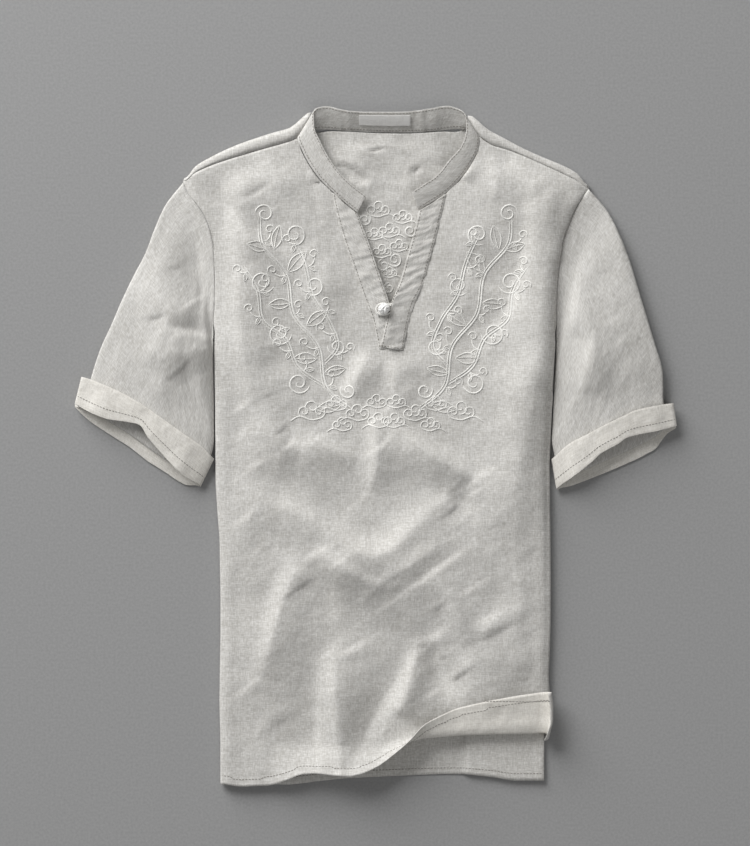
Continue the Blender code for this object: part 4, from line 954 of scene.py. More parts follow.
def cuff_ring(side, share, count, inset=(0.0, 0.0, 0.0)):
    """A closed ring of the cuff at a share of the way from its top edge to its rim."""
    top, front, back = [along(line[side], count) for line in (CUFF_TOP, CUFF_FRONT_RIM, CUFF_BACK_RIM)]
    upper = top * (1 - share) + front * share
    lower = top * (1 - share) + back * share
    top_z, rim_z = [looked_up(CUFF_HEIGHTS, np.linspace(0, 1, count), k) for k in (1, 2)]
    upper_z = top_z * (1 - share) + rim_z * share - inset[2]
    return closed_ring(upper, upper_z, lower, np.full(count, CUFF_WALL / 2 + inset[2]), *inset[:2])


def sleeve_control(side, front, back, middle, inner):
    """Rings of the sleeve, with calm, from the armhole seam to inside the cuff."""
    count = ARMPIT_ROW + 1
    inset = (*CUFF_STAND_OFF, CUFF_LAYER)
    armhole = np.array(ARMHOLE[side])
    edge_line = along(SLEEVE_EDGE[side], SLEEVE_STEPS)
    edge = HAIRPIN_CELLS + 1 if side < 0 else back.shape[1] - HAIRPIN_CELLS - 2
    back_z = np.array([*back[SHOULDER_ROWS : SHOULDER_ROWS + ARMPIT_ROW, edge, 2], BACK_Z + 1.6])
    seam_z = []
    for i in range(count):
        k = inner - 1 + (ROLL_CELLS if roll_of_row(i) > 0 else 0)
        seam_z.append(front[i, from_middle(middle, side, k), 2])
    seam_z[-1] = seam_z[-2] + 0.4
    cuff_top = cuff_ring(side, 0.0, count, inset)
    cuff_upper = cuff_top[:count]
    cuff_lower = cuff_top[count + 2 : 2 * count + 2][::-1]
    start_line = armhole + np.array([[side * gap, 0.0] for gap in ARMHOLE_GAPS])
    under_y = np.linspace(armhole[-1][1], cuff_upper[-1][1], SLEEVE_STEPS)
    under_line = np.array([[side_x(side, y) + side * UNDERARM_GAP, y] for y in under_y])
    v = np.linspace(0, 1, count)[:, None]
    rings = []
    for r in range(SLEEVE_STEPS - 1):
        u = r / (SLEEVE_STEPS - 1)
        plain = (1 - u) * start_line + u * cuff_upper[:, :2]
        plan = plain + ((1 - v) * (edge_line[r] - plain[0]) + v * (under_line[r] - plain[-1])) * (r > 0)
        outer, high, under = [looked_up(SLEEVE_HEIGHTS, u, k) for k in (1, 2, 3)]
        profile = [outer, 0.35 * outer + 0.65 * high, high, 0.5 * high + 0.5 * under, under]
        shape = np.interp(v[:, 0], SLEEVE_STATIONS, profile)
        blend = smooth(u / 0.2)
        sunk = smooth(u / 0.3)
        late = rising(u, 0.7, 0.3)
        z = (np.array(seam_z) * (1 - blend) + shape * blend) * (1 - late) + late * cuff_upper[:, 2]
        low = back_z * (1 - sunk) + BACK_Z * sunk
        low = low * (1 - late) + late * cuff_lower[:, 2]
        ring = closed_ring(plan, z, plan, low)
        calm = np.zeros(len(ring))
        calm[:count] = smooth(u / 0.25) * smooth((1 - u) / 0.25) * np.sin(np.pi * v[:, 0])
        rings.append(np.column_stack([ring, calm]))
    for share in (0.0,) + SLEEVE_END_SHARES:
        ring = cuff_ring(side, share, count, inset)
        rings.append(np.column_stack([ring, np.zeros(len(ring))]))
    return np.array(rings)


def collar_control():
    """Sections of the band from the left end of the opening, round the neck, to the right end."""
    stations = [row[:2] + (FRONT_Z,) + row[2:] for row in reversed(NECK[-1])]
    stations += NECK_BACK
    stations += [row[:2] + (FRONT_Z,) + row[2:] for row in NECK[1]]
    sections = []
    for x, y, seam_z, top_x, top_y, top_z in stations:
        seam, top = np.array([x, y]), np.array([top_x, top_y])
        foot = seam + unit(top - seam) * (SEAM_GAP + BAND * 0.5)
        sections.append([
            (*(foot + (top - foot) * s), seam_z + (top_z - seam_z) * s + 0.8 * math.sin(math.pi * s))
            for s in BAND_SHARES
        ])
    return np.array(sections)


def placket_control(front, middle, side):
    """A strip over the front's own points beside the opening, moved out."""
    first, last = NECK_ROWS, NECK_ROWS + len(OPENING[side])
    columns = [from_middle(middle, side, k) for k in range(PLACKET_CELLS + 1)]
    rows = front[first : last + 1][:, columns, :3].copy()
    rows[..., 2] += CLOTH / 2 + LAYER_GAP + PLACKET / 2
    if side > 0:
        for run, i, place in zip(rows[-len(CROSSING) :], range(last + 1 - len(CROSSING), last + 1), CROSSING):
            run[0, :2] = place
            run[1, 0] = front[i, middle, 0] + 2.0
            run[:2, 2] += CLOTH / 2 + PLACKET
    return rows


def node(tree, kind, **settings):
    """A new shader node with inputs or options set."""
    made = tree.nodes.new(kind)
    for name, value in settings.items():
        if name in made.inputs:
            made.inputs[name].default_value = value
        else:
            setattr(made, name, value)
    return made


def new_material(name, settings):
    """A material with its shader's inputs set, its node tree, and its shader's inputs."""
    made = bpy.data.materials.new(name)
    made.use_nodes = True
    inputs = made.node_tree.nodes["Principled BSDF"].inputs
    for key, value in settings.items():
        inputs[key].default_value = value
    return made, made.node_tree, inputs


def ramp_of(tree, value, low, high, between=()):
    """A value turned to colour; each stop is a position and a colour."""
    ramp = node(tree, "ShaderNodeValToRGB")
    stops = ramp.color_ramp.elements
    for stop, (position, color) in zip(stops, (low, high)):
        stop.position = position
        stop.color = (*color, 1.0)
    for position, color in between:
        stops.new(position).color = (*color, 1.0)
    tree.links.new(value, ramp.inputs["Fac"])
    return ramp.outputs["Color"]


def bump_of(tree, height, strength, distance, under=None):
    """Normals bent by a height, over those of a coarser relief."""
    relief = node(tree, "ShaderNodeBump", Strength=strength, Distance=distance)
    tree.links.new(height, relief.inputs["Height"])
    if under is not None:
        tree.links.new(under, relief.inputs["Normal"])
    return relief.outputs["Normal"]


def cloth_material(name, tones, roughness=0.88, bump=0.35):
    """Plain-woven linen that follows the flat cloth: uneven threads both ways, slubs, a soft cloudy tone."""
    made, tree, inputs = new_material(name, {
        "Roughness": roughness,
        "Sheen Weight": 0.25,
        "Sheen Roughness": 0.5,
        "Specular IOR Level": 0.25,
    })
    link = tree.links.new
    flat = node(tree, "ShaderNodeAttribute", attribute_name="flat_place").outputs["Vector"]

    def threads(across, down, detail=1.0):
        """Uneven tone with so many changes in a metre both ways."""
        mapping = node(tree, "ShaderNodeMapping", Scale=(across, down, 1.0))
        link(flat, mapping.inputs["Vector"])
        uneven = node(tree, "ShaderNodeTexNoise", Scale=1.0, Detail=detail, Roughness=0.55)
        link(mapping.outputs["Vector"], uneven.inputs["Vector"])
        return uneven.outputs["Fac"]

    def waves(direction):
        settings = {"Scale": THREAD_SCALE, "Distortion": 0.6, "Detail": 1.0}
        wave = node(tree, "ShaderNodeTexWave", bands_direction=direction, **settings)
        link(flat, wave.inputs["Vector"])
        return wave.outputs["Fac"]

    def mixed(operation, first, second):
        sum_or_product = node(tree, "ShaderNodeMath", operation=operation)
        for socket, value in zip(sum_or_product.inputs, (first, second)):
            if isinstance(value, float):
                socket.default_value = value
            else:
                link(value, socket)
        return sum_or_product.outputs[0]

    def blend(start, *parts):
        """A start with each part added at its weight."""
        for value, weight in parts:
            start = mixed("ADD", start, mixed("MULTIPLY", value, weight))
        return start

    grain = mixed("ADD", threads(190.0, 1100.0), threads(1100.0, 190.0))
    slubs = mixed("ADD", threads(35.0, 600.0), threads(600.0, 35.0))
    weave = mixed("MULTIPLY", waves("X"), waves("Y"))
    tone = blend(0.08, (grain, 0.22), (slubs, 0.1), (threads(14.0, 14.0, 3.0), 0.07))
    height = blend(0.0, (grain, 0.5), (weave, 0.35), (slubs, 0.35))
    dark, color, light = tones
    link(ramp_of(tree, tone, (0.38, dark), (0.64, light), [(0.5, color)]), inputs["Base Color"])
    soft = bump_of(tree, threads(46.0, 46.0, 2.0), 0.8, 0.0016)
    link(bump_of(tree, height, bump, 0.0004, soft), inputs["Normal"])
    return made


def mottled_material(name, color, settings, darker, tone, relief, bump):
    """A plain colour that varies a little; tone and relief are the scale and detail of their noise."""
    made, tree, inputs = new_material(name, settings)
    link = tree.links.new
    place = node(tree, "ShaderNodeTexCoord").outputs["Object"]

    def uneven(scale, detail):
        cloudy = node(tree, "ShaderNodeTexNoise", Scale=scale, Detail=detail)
        link(place, cloudy.inputs["Vector"])
        return cloudy.outputs["Fac"]

    dark = [c * darker for c in color]
    light = [min(c * 1.07, 1.0) for c in color]
    link(ramp_of(tree, uneven(*tone), (0.3, dark), (0.7, light)), inputs["Base Color"])
    link(bump_of(tree, uneven(*relief), *bump), inputs["Normal"])
    return made


def thread_material(name, color, roughness=0.55, twist=1600.0):
    """Lustrous thread: fine strands across its run and a slight change of tone."""
    settings = {"Roughness": roughness, "Sheen Weight": 0.3}
    return mottled_material(name, color, settings, 0.86, (60.0, 2.0), (twist, 1.0), (0.4, 0.0002))


def floor_material():
    """A painted board with a faint mottle."""
    mottle = (380.0, 3.0)
    return mottled_material("board", FLOOR_COLOR, {"Roughness": 0.9}, 0.93, mottle, mottle, (0.15, 0.0005))


def link_to_scene(name, data):
    """A new object that holds the data."""
    obj = bpy.data.objects.new(name, data)
    bpy.context.scene.collection.objects.link(obj)
    return obj


def mesh_object(name, vertices, faces, material, flat=None):
    """A smooth-shaded piece that rides on the shirt; flat is each vertex's place on the uncut cloth."""
    mesh = bpy.data.meshes.new(name)
    mesh.from_pydata([tuple(v) for v in vertices], [], [tuple(int(i) for i in f) for f in faces])
    if flat is not None:
        attribute = mesh.attributes.new("flat_place", "FLOAT_VECTOR", "POINT")
        attribute.data.foreach_set("vector", np.ascontiguousarray(flat, np.float32).ravel())
    mesh.materials.append(material)
    mesh.polygons.foreach_set("use_smooth", np.ones(len(mesh.polygons), bool))
    mesh.update()
    obj = link_to_scene(name, mesh)
    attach(obj, "root")
    return obj


def cord_piece(name, lines, radius, material):
    """Round cords through points in table millimetres, joined in one curve object."""
    data = bpy.data.curves.new(name, "CURVE")
    data.dimensions = "3D"
    data.bevel_depth = radius * MM
    data.bevel_resolution = 3
    data.resolution_u = 6
    data.use_fill_caps = True
    for points, closed in lines:
        spline = data.splines.new("NURBS")
        spline.points.add(len(points) - 1)
        for target, point in zip(spline.points, world(points)):
            target.co = (*point, 1.0)
        spline.use_cyclic_u = closed
        spline.use_endpoint_u = not closed
        spline.order_u = 4
    data.materials.append(material)
    obj = link_to_scene(name, data)
    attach(obj, "root")
    return obj


def flat_places(points, closed=False, swap=False):
    """Length of cloth along and across a dense grid, in metres, measured from its middle column."""
    rows, columns = points.shape[:2]
    sideways = run_lengths(points, 1)
    sideways = sideways - sideways[:, columns // 2][:, None]
    downwards = run_lengths(points, 0)
    flat = np.zeros((rows, columns, 3))
    flat[..., 0], flat[..., 1] = (downwards, sideways) if swap else (sideways, downwards)
    return flat * MM


def plan_places(x, y):
    """Places on the uncut cloth from their x and y in table millimetres."""
    return np.stack([x, y, np.zeros_like(x)], axis=-1) * MM


def quads_of(points, closed=False):
    """The corners' numbers of each cell of a dense grid."""
    rows, columns = points.shape[:2]
    index = np.arange(rows * columns).reshape(rows, columns)
    if closed:
        index = np.concatenate([index, index[:, :1]], axis=1)
    return np.stack([index[1:, :-1], index[1:, 1:], index[:-1, 1:], index[:-1, :-1]], axis=-1)


def cloth_piece(name, points, wall, material, keep=None, closed=False, flat=None, rounded=0.0, inside=None):
    """A thin shell through a dense grid in table millimetres; inside is the wrong side's own material."""
    quads = quads_of(points, closed)
    quads = quads.reshape(-1, 4) if keep is None else quads[keep]
    used, faces = np.unique(quads, return_inverse=True)
    places = flat_places(points, closed) if flat is None else flat
    vertices = world(points).reshape(-1, 3)[used]
    obj = mesh_object(name, vertices, faces.reshape(-1, 4), material, places.reshape(-1, 3)[used])
    shell = obj.modifiers.new("wall", "SOLIDIFY")
    shell.thickness = wall * MM
    shell.offset = 0.0
    if inside is not None:
        obj.data.materials.append(inside)
        shell.material_offset = 1
    if rounded > 0:
        edge = obj.modifiers.new("soft edge", "BEVEL")
        edge.width = rounded * MM
        edge.segments = 2
        edge.limit_method = "ANGLE"
        edge.angle_limit = math.radians(50)
    return obj


class Panel:
    """A dense panel with its cells kept and its normals."""

    def __init__(self, points, mask):
        self.points = points
        self.mask = mask
        self.normals = normals_of(points)

    def tree(self):
        """The panel as a search tree, in metres."""
        vertices = world(self.points).reshape(-1, 3)
        return BVHTree.FromPolygons(vertices.tolist(), quads_of(self.points)[self.mask].tolist())

    def hem_path(self):
        """The line of cloth HEM_BAND before the last row, and its normals."""
        lengths = run_lengths(self.points, 0)
        below = np.argmax(lengths > (lengths[-1] - HEM_BAND)[None], axis=0)
        columns = np.arange(self.points.shape[1])
        return self.points[below, columns, :3], self.normals[below, columns]

    def shoulder_path(self, side, row):
        """The topstitch beside the forward shoulder seam, in a row of the back's strip, and its normals."""
        half = self.points.shape[1] // 2
        columns = slice(0, half - STRIP_GAP) if side < 0 else slice(half + STRIP_GAP, None)
        path, up = self.points[row, columns, :3][:-1], self.normals[row, columns][:-1]
        used = self.mask[row, columns][: len(path)]
        return path[used], up[used]


def dense_mask(keep, row_cells, column_cells):
    """The cells kept, spread over the dense grid."""
    return np.repeat(np.repeat(keep, row_cells, axis=0), column_cells, axis=1)


def dropped(tree, x, y):
    """Point and normal where a line straight down meets the cloth; None if it misses."""
    hit, normal, _, _ = tree.ray_cast(Vector(world((x, y, DROP_HEIGHT))), Vector((0, 0, -1)))
    if hit is None:
        return None
    return hit, normal if normal.z > 0 else -normal


def crease_front(points):
    """Adds the creases to the dense front, along its own normals, where the cloth is free."""
    x, y, calm = points[..., 0], points[..., 1], points[..., 3]
    flap = smooth((run_lengths(points, 0) - HEM_LENGTH_START) / 14.0) * smooth((x - FLAP_START) / 30.0)
    relief = relief_of(FRONT_CREASES, x, y) * np.clip(calm, 0.0, 1.0) ** CALM_POWER * (1 - 0.85 * flap)
    soft = 0.35 * crumple(x, y, 24.0, 5.5) * smooth((points[..., 2] - FRONT_Z + 1.5) / 1.5)
    made = points.copy()
    made[..., :3] += normals_of(points) * (relief + soft * (1 - (0.25 + 0.75 * calm) * calm))[..., None]
    return made


def roll_flap_end(dense, first_row, first_column):
    """Bulges the right end of the turned-up hem at its middle and draws it in at the fold."""
    rows = dense[first_row:, first_column:]
    run = run_lengths(rows, 0)
    toward_end = np.linspace(0.0, 1.0, rows.shape[1])[None] ** 2
    rows[..., 0] += FLAP_END_BULGE * np.interp(run / run[-1], *FLAP_END_SHARES) * toward_end


def panel_flat(points, last_level_row, edge_columns):
    """Place on the uncut cloth: plan x and y, unrolled past the side edges and past the hem's bend."""
    x, y = points[..., 0].copy(), points[..., 1].copy()
    sideways = run_lengths(points, 1)
    last = points.shape[1] - 1 - edge_columns
    x[:, :edge_columns] = x[:, [edge_columns]] - (sideways[:, [edge_columns]] - sideways[:, :edge_columns])
    x[:, last + 1 :] = x[:, [last]] + (sideways[:, last + 1 :] - sideways[:, [last]])
    downwards = run_lengths(points, 0)
    y[last_level_row:] = y[[last_level_row]] - (downwards[last_level_row:] - downwards[[last_level_row]])
    return plan_places(x, y)


def front_piece(material, inside):
    """The front's shell and panel, with its control grid and that grid's middle and inner columns."""
    control, keep, middle, inner = front_control()
    row_cells = cells_for(control, 0)
    column_cells = cells_for(control, 1)
    dense = dense_grid(control, row_cells, column_cells)
    mask = dense_mask(keep, row_cells, column_cells)
    bend_row = sum(row_cells[: -(TURN_ROWS + REST_ROWS)])
    flat = panel_flat(dense, bend_row, sum(column_cells[: ROLL_CELLS + 2]))
    dense = crease_front(dense)
    roll_flap_end(dense, bend_row, sum(column_cells[: -(ROLL_CELLS + 4)]))
    obj = cloth_piece("front_panel", dense, SHELL, material, mask, flat=flat, inside=inside)
    return obj, Panel(dense, mask), control, middle, inner


def back_piece(front, middle, material):
    """The back's shell and panel, the row of its shoulder stitches, and its control grid."""
    control, keep = back_control(front, middle)
    row_cells = cells_for(control, 0, cell=4.0)
    column_cells = cells_for(control, 1, cell=4.0)
    dense = dense_grid(control, row_cells, column_cells)
    x, y, z = dense[..., 0], dense[..., 1], dense[..., 2]
    lift = 0.5 + 0.5 * crumple(x, y, 50.0, 9.2) + 0.3 * crumple(x, y, 20.0, 4.4)
    level = rising(-y, *BACK_FREE[0]) * rising(y, *BACK_FREE[1]) * (z < TUCK_BACK_Z - 0.3)
    in_view = rising(y, *NECK_VIEW[0]) * rising(-abs(x - OPENING_MIDDLE), *NECK_VIEW[1])
    z += lift * level * 0.8
    z += in_view * (z < 3.0) * (0.5 + crease_field(BACK_CREASES, x, y))
    z += in_view * (z < 3.0) * (3.0 + 1.6 * crumple(x, y / 0.6, 30.0, 2.2) + 0.5 * crumple(x, y, 9.0, 6.1))
    mask = dense_mask(keep, row_cells, column_cells)
    obj = cloth_piece("back_panel", dense, SHELL, material, mask, flat=plan_places(x, y))
    return obj, Panel(dense, mask), max(row_cells[0] // 2, 1), control


def sleeve_piece(side, front, back, middle, inner, material):
    """The sleeve's shell: a flat tube from the armhole into its cuff."""
    control = sleeve_control(side, front, back, middle, inner)
    column_cells = cells_for(control, 1, closed=True, cell=3.0)
    dense = dense_grid(control, cells_for(control, 0, cell=3.0), column_cells, closed=True)
    x, y, z, calm = [dense[..., k] for k in range(4)]
    flat = flat_places(dense, closed=True)
    z += relief_of(SLEEVE_CREASES, x, y, 20.0 + side) * np.clip(calm, 0.0, 1.0)
    return cloth_piece(f"sleeve_{SIDE_WORDS[side]}_cloth", dense, SHELL, material, closed=True, flat=flat)


def cuff_piece(side, material):
    """The turned-up cuff's shell and its dense grid."""
    control = np.array([cuff_ring(side, s, CUFF_POINTS) for s in (0.0, 0.5, 1.0)])
    column_cells = cells_for(control, 1, closed=True, cell=3.0)
    row_cells = [CUFF_CELLS // 2] * 2
    dense = dense_grid(control, row_cells, column_cells, closed=True, lowest=THICK_SHELL / 2 + 0.2)
    x, y, z = [dense[..., k] for k in range(3)]
    upper = smooth((z - 6.0) / 6.0)
    z += (0.8 * crumple(x, y, 26.0, 30.0 + side) + 0.3 * crumple(x, y, 9.0, 33.0 + side)) * upper
    name = f"cuff_{SIDE_WORDS[side]}_cloth"
    return cloth_piece(name, dense, THICK_SHELL, material, closed=True, rounded=0.5), dense


def collar_piece(material):
    """The band's shell, its dense grid and its sections."""
    sections = collar_control()
    dense = dense_grid(sections, cells_for(sections, 0, cell=2.6), [3, 3, 3, 2])
    x, y = dense[..., 0], dense[..., 1]
    behind = rising(y, *BAND_BACK[0]) * rising(-abs(x - OPENING_MIDDLE), *BAND_BACK[1])
    beside_label = 0.3 + 0.7 * rising(abs(x - LABEL_MIDDLE), LABEL_REACH, LABEL_RAMP)
    wave = 0.35 * crumple(x, y, 30.0, 41.0) + 0.15 * crumple(x, y, 9.0, 43.0)
    wave = wave + 1.5 * behind * beside_label * crumple(x, y / 5.0, 6.5, 44.0)
    dense += normals_of(dense) * wave[..., None]
    flat = flat_places(dense, swap=True)
    return cloth_piece("collar_band", dense, THICK_SHELL, material, flat=flat, rounded=0.45), dense, sections


def placket_piece(front, middle, side, material):
    """The placket strip's shell, puckered along its length, and its dense grid."""
    control = placket_control(front, middle, side)
    dense = dense_grid(control, cells_for(control, 0, cell=1.6, most=16), [6, 6])
    x, y, z = [dense[..., k] for k in range(3)]
    level = y - 0.3 * x
    pucker = crumple(x / 4.0, level, 5.2, 50.0 + side) + 0.5 * crumple(x / 2.5, level, 3.0, 54.0 + side)
    z += 0.5 * crumple(x, y, 14.0, 57.0 + side) + 1.1 * pucker
    for k, sink in enumerate(PLACKET_EDGE_SINK):
        z[:, [k, -1 - k]] -= sink
    return cloth_piece(f"placket_{SIDE_WORDS[side]}_cloth", dense, PLACKET, material, rounded=0.3), dense


def label_piece(sections, material):
    """The woven label's shell, on the inside of the band's back."""
    first, last = [len(NECK[-1]) + k for k in LABEL_SECTIONS]
    patch = sections[first : last + 1, 1:4]
    out = unit(np.cross(patch[-1, 0] - patch[0, 0], patch[0, -1] - patch[0, 0]))
    patch = patch + out * (BAND / 2 + SEAM_GAP + LABEL_WALL / 2)
    dense = dense_grid(patch, [10] * (len(patch) - 1), [5, 5])
    return cloth_piece("label_tape", dense, LABEL_WALL, material, rounded=0.15)


def knot_piece(material):
    """The cord knot, pairs of rings round a ball, on its stem of two cords, sewn down beside the opening."""
    x, y = KNOT_PLACE
    lines = []
    for number, (lean, swing) in enumerate(KNOT_TILTS):
        turn = Euler((math.radians(lean), 0.0, math.radians(swing)))
        for offset in (-1.0, 1.0):
            ring = []
            away = offset * KNOT_CORD_RADIUS
            small = math.sqrt(KNOT_BALL * KNOT_BALL - away * away)
            for angle in np.arange(16) * math.pi / 8:
                swell = 1.0 + 0.12 * math.sin(2 * angle + 1.3 * number + offset)
                place = Vector((small * swell * math.cos(angle), small * swell * math.sin(angle), away))
                place.rotate(turn)
                ring.append([c + p for c, p in zip((x, y, KNOT_PLACE_Z), place)])
            lines.append((ring, True))
    top = KNOT_PLACE_Z - 1.5
    low = FRONT_Z + CLOTH / 2 + LAYER_GAP + PLACKET + KNOT_CORD_RADIUS
    end_x, end_y = KNOT_TAIL
    for away in (-1.0, 1.0):
        stem = []
        for share in np.linspace(0.0, KNOT_STEM_SHARE, 8):
            sink = smooth(share / (0.8 * KNOT_STEM_SHARE))
            place = (x + (end_x - x) * share - away * 0.62, y + (end_y - y) * share + away * 0.78)
            stem.append((*place, top + (low - top) * sink))
        lines.append((stem, False))
    return cord_piece("cord_knot", lines, KNOT_CORD_RADIUS, material)


def loop_piece(material):
    """The cord loop round the knot's foot, its two ends sewn down on the upper placket's edge."""
    low = FRONT_Z + CLOTH / 2 + 2 * LAYER_GAP + PLACKET + CLOTH / 2 + PLACKET + LOOP_RADIUS
    line = [(x, y, low) for x, y in LOOP_LINE]
    return cord_piece("cord_loop", [(line, False)], LOOP_RADIUS, material)


def add_stitches(path, normals, made, wall):
    """Adds short raised stitches along a path on a cloth's face; made gathers vertices and faces."""
    _, run = run_of(path)
    vertices, faces = made

    def at(station, values):
        return Vector([float(np.interp(station, run, values[:, k])) for k in range(3)])

    for station in np.arange(STITCH_STEP / 2, run[-1] - STITCH_STEP / 3, STITCH_STEP):
        a, b = at(station - STITCH_LENGTH / 2, path), at(station + STITCH_LENGTH / 2, path)
        normal = at(station, normals).normalized()
        ahead = b - a
        if ahead.length < 0.2 * STITCH_LENGTH:
            continue
        sideways = ahead.cross(normal).normalized() * STITCH_WIDTH
        up = normal * STITCH_HEIGHT
        ground = normal * (wall / 2)
        start = len(vertices)
        for share, swell in STITCH_RINGS:
            centre = a + ahead * share + ground - up * 0.5
            if swell == 0.0:
                vertices.append(world(centre))
                continue
            for angle in HALF_TURN:
                out = sideways * (math.cos(angle) * swell * 0.5) + up * (math.sin(angle) * 1.5 * swell)
                vertices.append(world(centre + out))
        rings = [start + 1, start + 6, start + 11]
        for k in range(4):
            faces.append((start, rings[0] + k + 1, rings[0] + k))
            faces.append((start + 16, rings[2] + k, rings[2] + k + 1))
            for one, other in zip(rings[:-1], rings[1:]):
                faces.append((one + k, one + k + 1, other + k + 1, other + k))


def stitches_piece(name, paths, material):
    """All stitching of one part: paths holds (path, normals, faces to stitch, wall)."""
    made = ([], [])
    for path, normals, sides, wall in paths:
        for face in sides:
            add_stitches(path, normals * face, made, wall)
    return mesh_object(name, *made, material)


def edge_path(grid, row=None, column=None):
    """A row of a closed dense grid or a column of an open one, and its normals."""
    normals = normals_of(grid, closed=row is not None)
    if row is None:
        return grid[:, column, :3], normals[:, column]
    path, up = grid[row, :, :3], normals[row]
    return np.concatenate([path, path[:1]]), np.concatenate([up, up[:1]])


def add_thread(tree, line, made, width):
    """A satin cord of thread along a line in plan, half sunk in the cloth and tapered at both ends."""
    lengths, _ = run_of(np.array(line, float))
    count = max(int(lengths.sum() / THREAD_SPACING), 3)
    places = [dropped(tree, x, y) for x, y in along(line, count + 1)]
    places = [p for p in places if p is not None]
    if len(places) < 4:
        return
    vertices, faces = made
    start = len(vertices)
    total = len(places) - 1
    for k, (point, normal) in enumerate(places):
        ahead = places[min(k + 1, total)][0] - places[max(k - 1, 0)][0]
        sideways = ahead.cross(normal).normalized()
        share = k / total
        swell = float(np.interp(min(share, 1 - share), *THREAD_TAPER))
        for angle in HALF_TURN:
            out = sideways * (math.cos(angle) * width * swell / 2 * MM)
            rise = SHELL / 2 - 0.1 + math.sin(angle) * THREAD_HEIGHT * swell
            vertices.append(point + out + normal * (rise * MM))
    for a in range(start, start + 5 * total, 5):
        faces += [(a + k, a + k + 1, a + k + 6, a + k + 5) for k in range(4)]


def embroidery_piece(name, tree, lines, material):
    """All thread work of one part: lines holds (line, width)."""
    made = ([], [])
    for line, width in lines:
        add_thread(tree, line, made, width)
    return mesh_object(name, *made, material)


def spiral(centre, radius, turns, start_degrees, hand, points=26):
    """A scroll that winds in to its centre; hand is 1 for counterclockwise."""
    made = []
    for share in np.arange(points) / (points - 1):
        angle = math.radians(start_degrees) + hand * 2 * math.pi * turns * share
        away = radius * (1 - share) ** 0.8 + 0.9
        made.append((centre[0] + away * math.cos(angle), centre[1] + away * math.sin(angle)))
    return made


def left_of(ahead):
    """The direction a quarter turn to the left."""
    return np.array([-ahead[1], ahead[0]])


def bowed(start, end, bow):
    """An arc-like line from start to end that bows to its left by a share of its length."""
    start, end = np.array(start, float), np.array(end, float)
    run = end - start
    shares = np.linspace(0, 1, 16)
    return [tuple(start + run * s + left_of(run) * bow * math.sin(math.pi * s)) for s in shares]


def wandering(points, count=40):
    """A smooth line through a few given points."""
    control = np.array([(x, y, 0.0) for x, y in points])
    made = spans(control, [max(count // (len(points) - 1), 4)] * (len(points) - 1))
    return [(x, y) for x, y, _ in made]


def shifted(line, away):
    """The same line moved to its left, to run beside it."""
    line = np.array(line, float)
    return [tuple(p + left_of(unit(ahead)) * away) for p, ahead in zip(line, np.gradient(line, axis=0))]


def leaf(start, end, fat):
    """A pointed leaf: two bowed sides and a vein."""
    return [(bowed(start, end, fat * bow), width) for bow, width in ((1.0, 1.3), (-1.0, 1.3), (0.15, 0.8))]


def cloud(x, y, size, side):
    """A traditional cloud head: three joined scrolls on a low tail."""
    lines = []
    for dx, dy, radius, start, hand in CLOUD_SCROLLS:
        place = (x + side * dx * size, y + dy * size)
        lines.append((spiral(place, radius * size, 1.35, start, hand * side), 1.5))
    tail = [(x + side * dx * size, y + dy * size) for dx, dy in CLOUD_TAIL]
    lines.append((wandering(tail), 1.5))
    return lines


def sprays(stem, side):
    """Tendrils and small leaves that leave a stem by turns on both hands."""
    lines = []
    stem = np.array(stem, float)
    steps = len(stem) // SPRAYS
    for number, k in enumerate(range(steps, len(stem) - 2, steps)):
        hand = 1 if number % 2 else -1
        ahead = unit(stem[k + 1] - stem[k])
        out = left_of(ahead) * hand
        reach = 10.0 + 3.0 * math.sin(2.3 * number)
        tip = stem[k] + ahead * reach * 0.7 + out * reach
        lines.append((bowed(stem[k], tip, 0.2 * hand), 1.5))
        dx, dy = tip - (stem[k] + ahead * reach)
        start = math.degrees(math.atan2(dy, dx))
        lines.append((spiral(tip + ahead * 3.5, 4.2, 1.2, start, -hand, 16), 1.4))
        lines += leaf(stem[k] + out * 2.0, stem[k] - ahead * 7.0 + out * 9.0, 0.2 * side)
    return lines


def scroll_lines(side):
    """Generic scrolling vine with leaves and cloud heads for one side of the chest."""
    lines = []

    def placed(x, y):
        return OPENING_MIDDLE + side * x, y

    for points, width in VINE_STEMS:
        stem = wandering([placed(x, y) for x, y in points], 70)
        lines += [(stem, width), (shifted(stem, 2.6), 1.2)]
        lines += sprays(stem, side)
    for x, y, radius, turns, start, hand in VINE_SCROLLS:
        turned_start = start if side > 0 else 180 - start
        lines.append((spiral(placed(x, y), radius, turns, turned_start, hand * side), 1.8))
    for x1, y1, x2, y2, fat in VINE_LEAVES:
        lines += leaf(placed(x1, y1), placed(x2, y2), fat)
    for x, y, size in VINE_CLOUDS:
        lines += cloud(*placed(x, y), size, side)
    return lines


def main_camera():
    """Straight down from high above, with PHOTO_WIDTH millimetres across at the cloth."""
    data = bpy.data.cameras.new("camera")
    data.sensor_fit = "HORIZONTAL"
    data.sensor_width = 36.0
    data.lens = data.sensor_width * CAMERA_HEIGHT / (PHOTO_WIDTH * MM)
    data.clip_end = 20.0
    camera = link_to_scene("camera", data)
    x, y, _ = world((*PHOTO_MIDDLE, 0.0))
    camera.location = (x, y, CAMERA_HEIGHT + FRONT_Z * MM)
    bpy.context.scene.camera = camera


